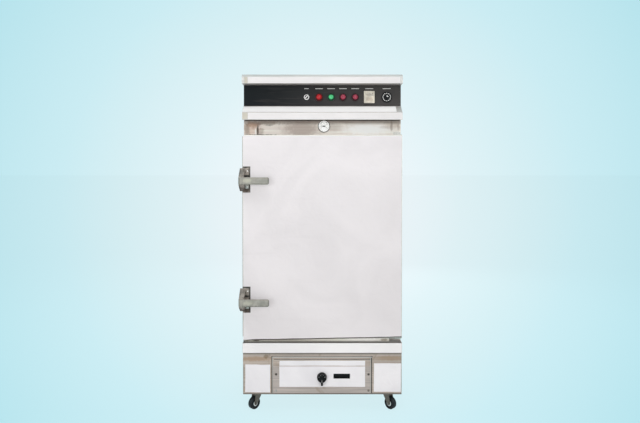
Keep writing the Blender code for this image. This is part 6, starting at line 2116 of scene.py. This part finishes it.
@dataclass
class Studio:
    """The camera, the lamps, the floor and the pale blue surroundings."""

    camera_place: Point = (0.0, -2.5, 1.05)
    pitch: float = 89.1
    lens: float = 31.46
    sensor: float = 36.0
    shift: tuple[float, float] = (-0.0036, -0.045)
    # The way to the palest place of the surroundings, and how near to it their colour changes.
    axis: Point = (-0.004, 1.0, -0.0556)
    nearness: tuple[float, float] = (0.8, 1.0)
    floor_half: float = 400.0
    floor_colour: Colour = (0.80, 0.78, 0.75)
    floor_share: float = 0.90
    floor_glow: float = 1.04
    sky_colour: Colour = (1.0, 0.99, 0.975)
    sky_light: float = 0.38
    # The surroundings' colours, from far off that place to the place itself.
    stops: tuple[tuple[float, Colour], ...] = field(default_factory=lambda: (
        (0.000, linear(176, 225, 235)),
        (0.129, linear(184, 228, 237)),
        (0.534, linear(203, 236, 243)),
        (0.695, linear(214, 239, 244)),
        (0.850, linear(225, 243, 247)),
        (0.937, linear(235, 246, 250)),
        (1.000, linear(238, 248, 251)),
    ))
    # Each lamp's name, its place, what it looks at, its size and its power.
    lamps: tuple[tuple[str, Point, Point, float, float], ...] = (
        ("key", (0.5, -3.5, 1.8), (0.0, 0.1, 0.80), 2.4, 26.5),
        ("fill", (-1.5, -3.1, 0.95), (0.0, 0.1, 0.80), 1.8, 22.0),
        ("top", (0.1, -1.5, 3.6), (0.0, 0.1, 1.0), 2.2, 39.0),
        ("rear", (0.6, 3.4, 2.0), (0.0, 0.2, 0.8), 2.6, 34.0),
        ("left", (-3.6, 0.6, 1.8), (0.0, 0.2, 0.8), 2.2, 14.0),
        ("right", (3.6, 0.6, 1.8), (0.0, 0.2, 0.8), 2.2, 14.0),
    )

    def build(self) -> None:
        """Sets up the whole studio."""
        self.build_camera()
        self.build_lamps()
        self.build_world()
        self.build_floor()
        bpy.context.scene.view_settings.view_transform = "Standard"

    def build_camera(self) -> None:
        """Puts the camera at the photograph's place."""
        data = bpy.data.cameras.new("camera")
        data.lens = self.lens
        data.sensor_width = self.sensor
        data.shift_x, data.shift_y = self.shift
        camera = bpy.data.objects.new("camera", data)
        camera.location = Datum.at(self.camera_place)
        camera.rotation_euler = (math.radians(self.pitch), 0.0, 0.0)
        bpy.context.scene.collection.objects.link(camera)
        bpy.context.scene.camera = camera
        LOG.info("camera set")

    def build_lamps(self) -> None:
        """Sets large soft lamps round the cabinet."""
        for name, place, target, size, power in self.lamps:
            data = bpy.data.lights.new(name, "AREA")
            data.shape = "DISK"
            data.size = size
            data.energy = power
            lamp = bpy.data.objects.new(name, data)
            lamp.location = Datum.at(place)
            lamp.rotation_euler = (Datum.at(target) - lamp.location).to_track_quat("-Z", "Y").to_euler()
            bpy.context.scene.collection.objects.link(lamp)
            LOG.info("lamp %s set", name)

    def tint(self, tree: Tree, direction: Socket) -> Socket:
        """Makes the pale blue of the surroundings in a direction from the camera's place.

        Args:
            tree: the node tree to build in.
            direction: the output that holds the direction.

        Returns:
            The colour's output.
        """
        unit = tree.vectors("NORMALIZE", direction)[0]
        near = tree.vectors("DOT_PRODUCT", unit, Vector(self.axis).normalized())["Value"]
        share = tree.add("ShaderNodeMapRange")
        share.inputs["From Min"].default_value, share.inputs["From Max"].default_value = self.nearness
        tree.feed(share.inputs["Value"], near)
        ramp = tree.add("ShaderNodeValToRGB")
        elements = ramp.color_ramp.elements
        for element, (place, colour) in zip(elements, (self.stops[0], self.stops[-1])):
            element.position, element.color = place, (*colour, 1.0)
        for place, colour in self.stops[1:-1]:
            elements.new(place).color = (*colour, 1.0)
        tree.feed(ramp.inputs["Fac"], share.outputs["Result"])
        return ramp.outputs["Color"]

    @staticmethod
    def seen(tree: Tree) -> Socket:
        """Tells what is looked at from what only gives light.

        Args:
            tree: the node tree to build in.

        Returns:
            An output that is 1 for what the camera, a reflection or clear glass sees, else 0.
        """
        path = tree.add("ShaderNodeLightPath").outputs
        shiny = tree.maths("MAXIMUM", path["Is Camera Ray"], path["Is Glossy Ray"])
        return tree.maths("MAXIMUM", shiny, path["Is Transmission Ray"])

    def build_world(self) -> None:
        """Makes the surroundings pale blue where they are seen, neutral where they light."""
        world = bpy.data.worlds.new("surroundings")
        bpy.context.scene.world = world
        world.use_nodes = True
        tree = Tree(world.node_tree)
        output = tree.add("ShaderNodeOutputWorld")
        shown = tree.add("ShaderNodeBackground")
        direction = tree.add("ShaderNodeTexCoord").outputs["Generated"]
        tree.feed(shown.inputs["Color"], self.tint(tree, direction))
        light = tree.add("ShaderNodeBackground")
        tree.feed(light.inputs["Color"], self.sky_colour)
        tree.feed(light.inputs["Strength"], self.sky_light)
        tree.feed(output.inputs["Surface"], tree.mixed(self.seen(tree), light, shown))
        LOG.info("surroundings set")

    def build_floor(self) -> None:
        """Makes a wide plain floor in the surroundings' colour that keeps the cabinet's shadow."""
        half = self.floor_half
        bm = bmesh.new()
        corners = ((-half, -half), (half, -half), (half, half), (-half, half))
        bm.faces.new([bm.verts.new((x, y, 0.0)) for x, y in corners])
        mesh = bpy.data.meshes.new("floor")
        bm.to_mesh(mesh)
        bm.free()
        mesh.materials.append(self.floor_material())
        floor = bpy.data.objects.new("floor", mesh)
        bpy.context.scene.collection.objects.link(floor)
        floor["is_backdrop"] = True
        LOG.info("floor set")

    def floor_material(self) -> bpy.types.Material:
        """Makes the floor's material, matt for the shadows under a share of the surroundings' colour.

        Returns:
            The material.
        """
        material = bpy.data.materials.new("floor")
        material.use_nodes = True
        material.cycles.emission_sampling = "NONE"
        tree = Tree(material.node_tree)
        output = tree.add("ShaderNodeOutputMaterial")
        place = tree.add("ShaderNodeNewGeometry").outputs["Position"]
        colour = self.tint(tree, tree.vectors("SUBTRACT", place, Datum.at(self.camera_place))[0])
        seen = self.seen(tree)
        lit = tree.add("ShaderNodeBsdfDiffuse")
        tree.feed(lit.inputs["Color"], tree.blend(seen, self.floor_colour, colour))
        glow = tree.add("ShaderNodeEmission")
        tree.feed(glow.inputs["Color"], colour)
        tree.feed(glow.inputs["Strength"], self.floor_glow)
        share = tree.maths("MULTIPLY", seen, self.floor_share)
        tree.feed(output.inputs["Surface"], tree.mixed(share, lit, glow))
        return material


def main(frame: dict, cad_box: Sequence[Sequence[float]]) -> None:
    """Builds every sub-assembly in order.

    Args:
        frame: what the frame's loading gave.
        cad_box: the frame's own box; not used.
    """
    Datum.find()
    shop = Shop(frame)
    Studio().build()
    for part in (Casing(), ControlFascia(), Thermometer(), Door(), Base(), Interior()):
        LOG.info("%s", type(part).__name__)
        part.dress(shop)
        part.build(shop)
    LOG.info("%d pieces made", shop.count)


if __name__ == "__main__":
    logging.basicConfig(level=logging.INFO, format="%(message)s")
    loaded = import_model()
    main(loaded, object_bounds())
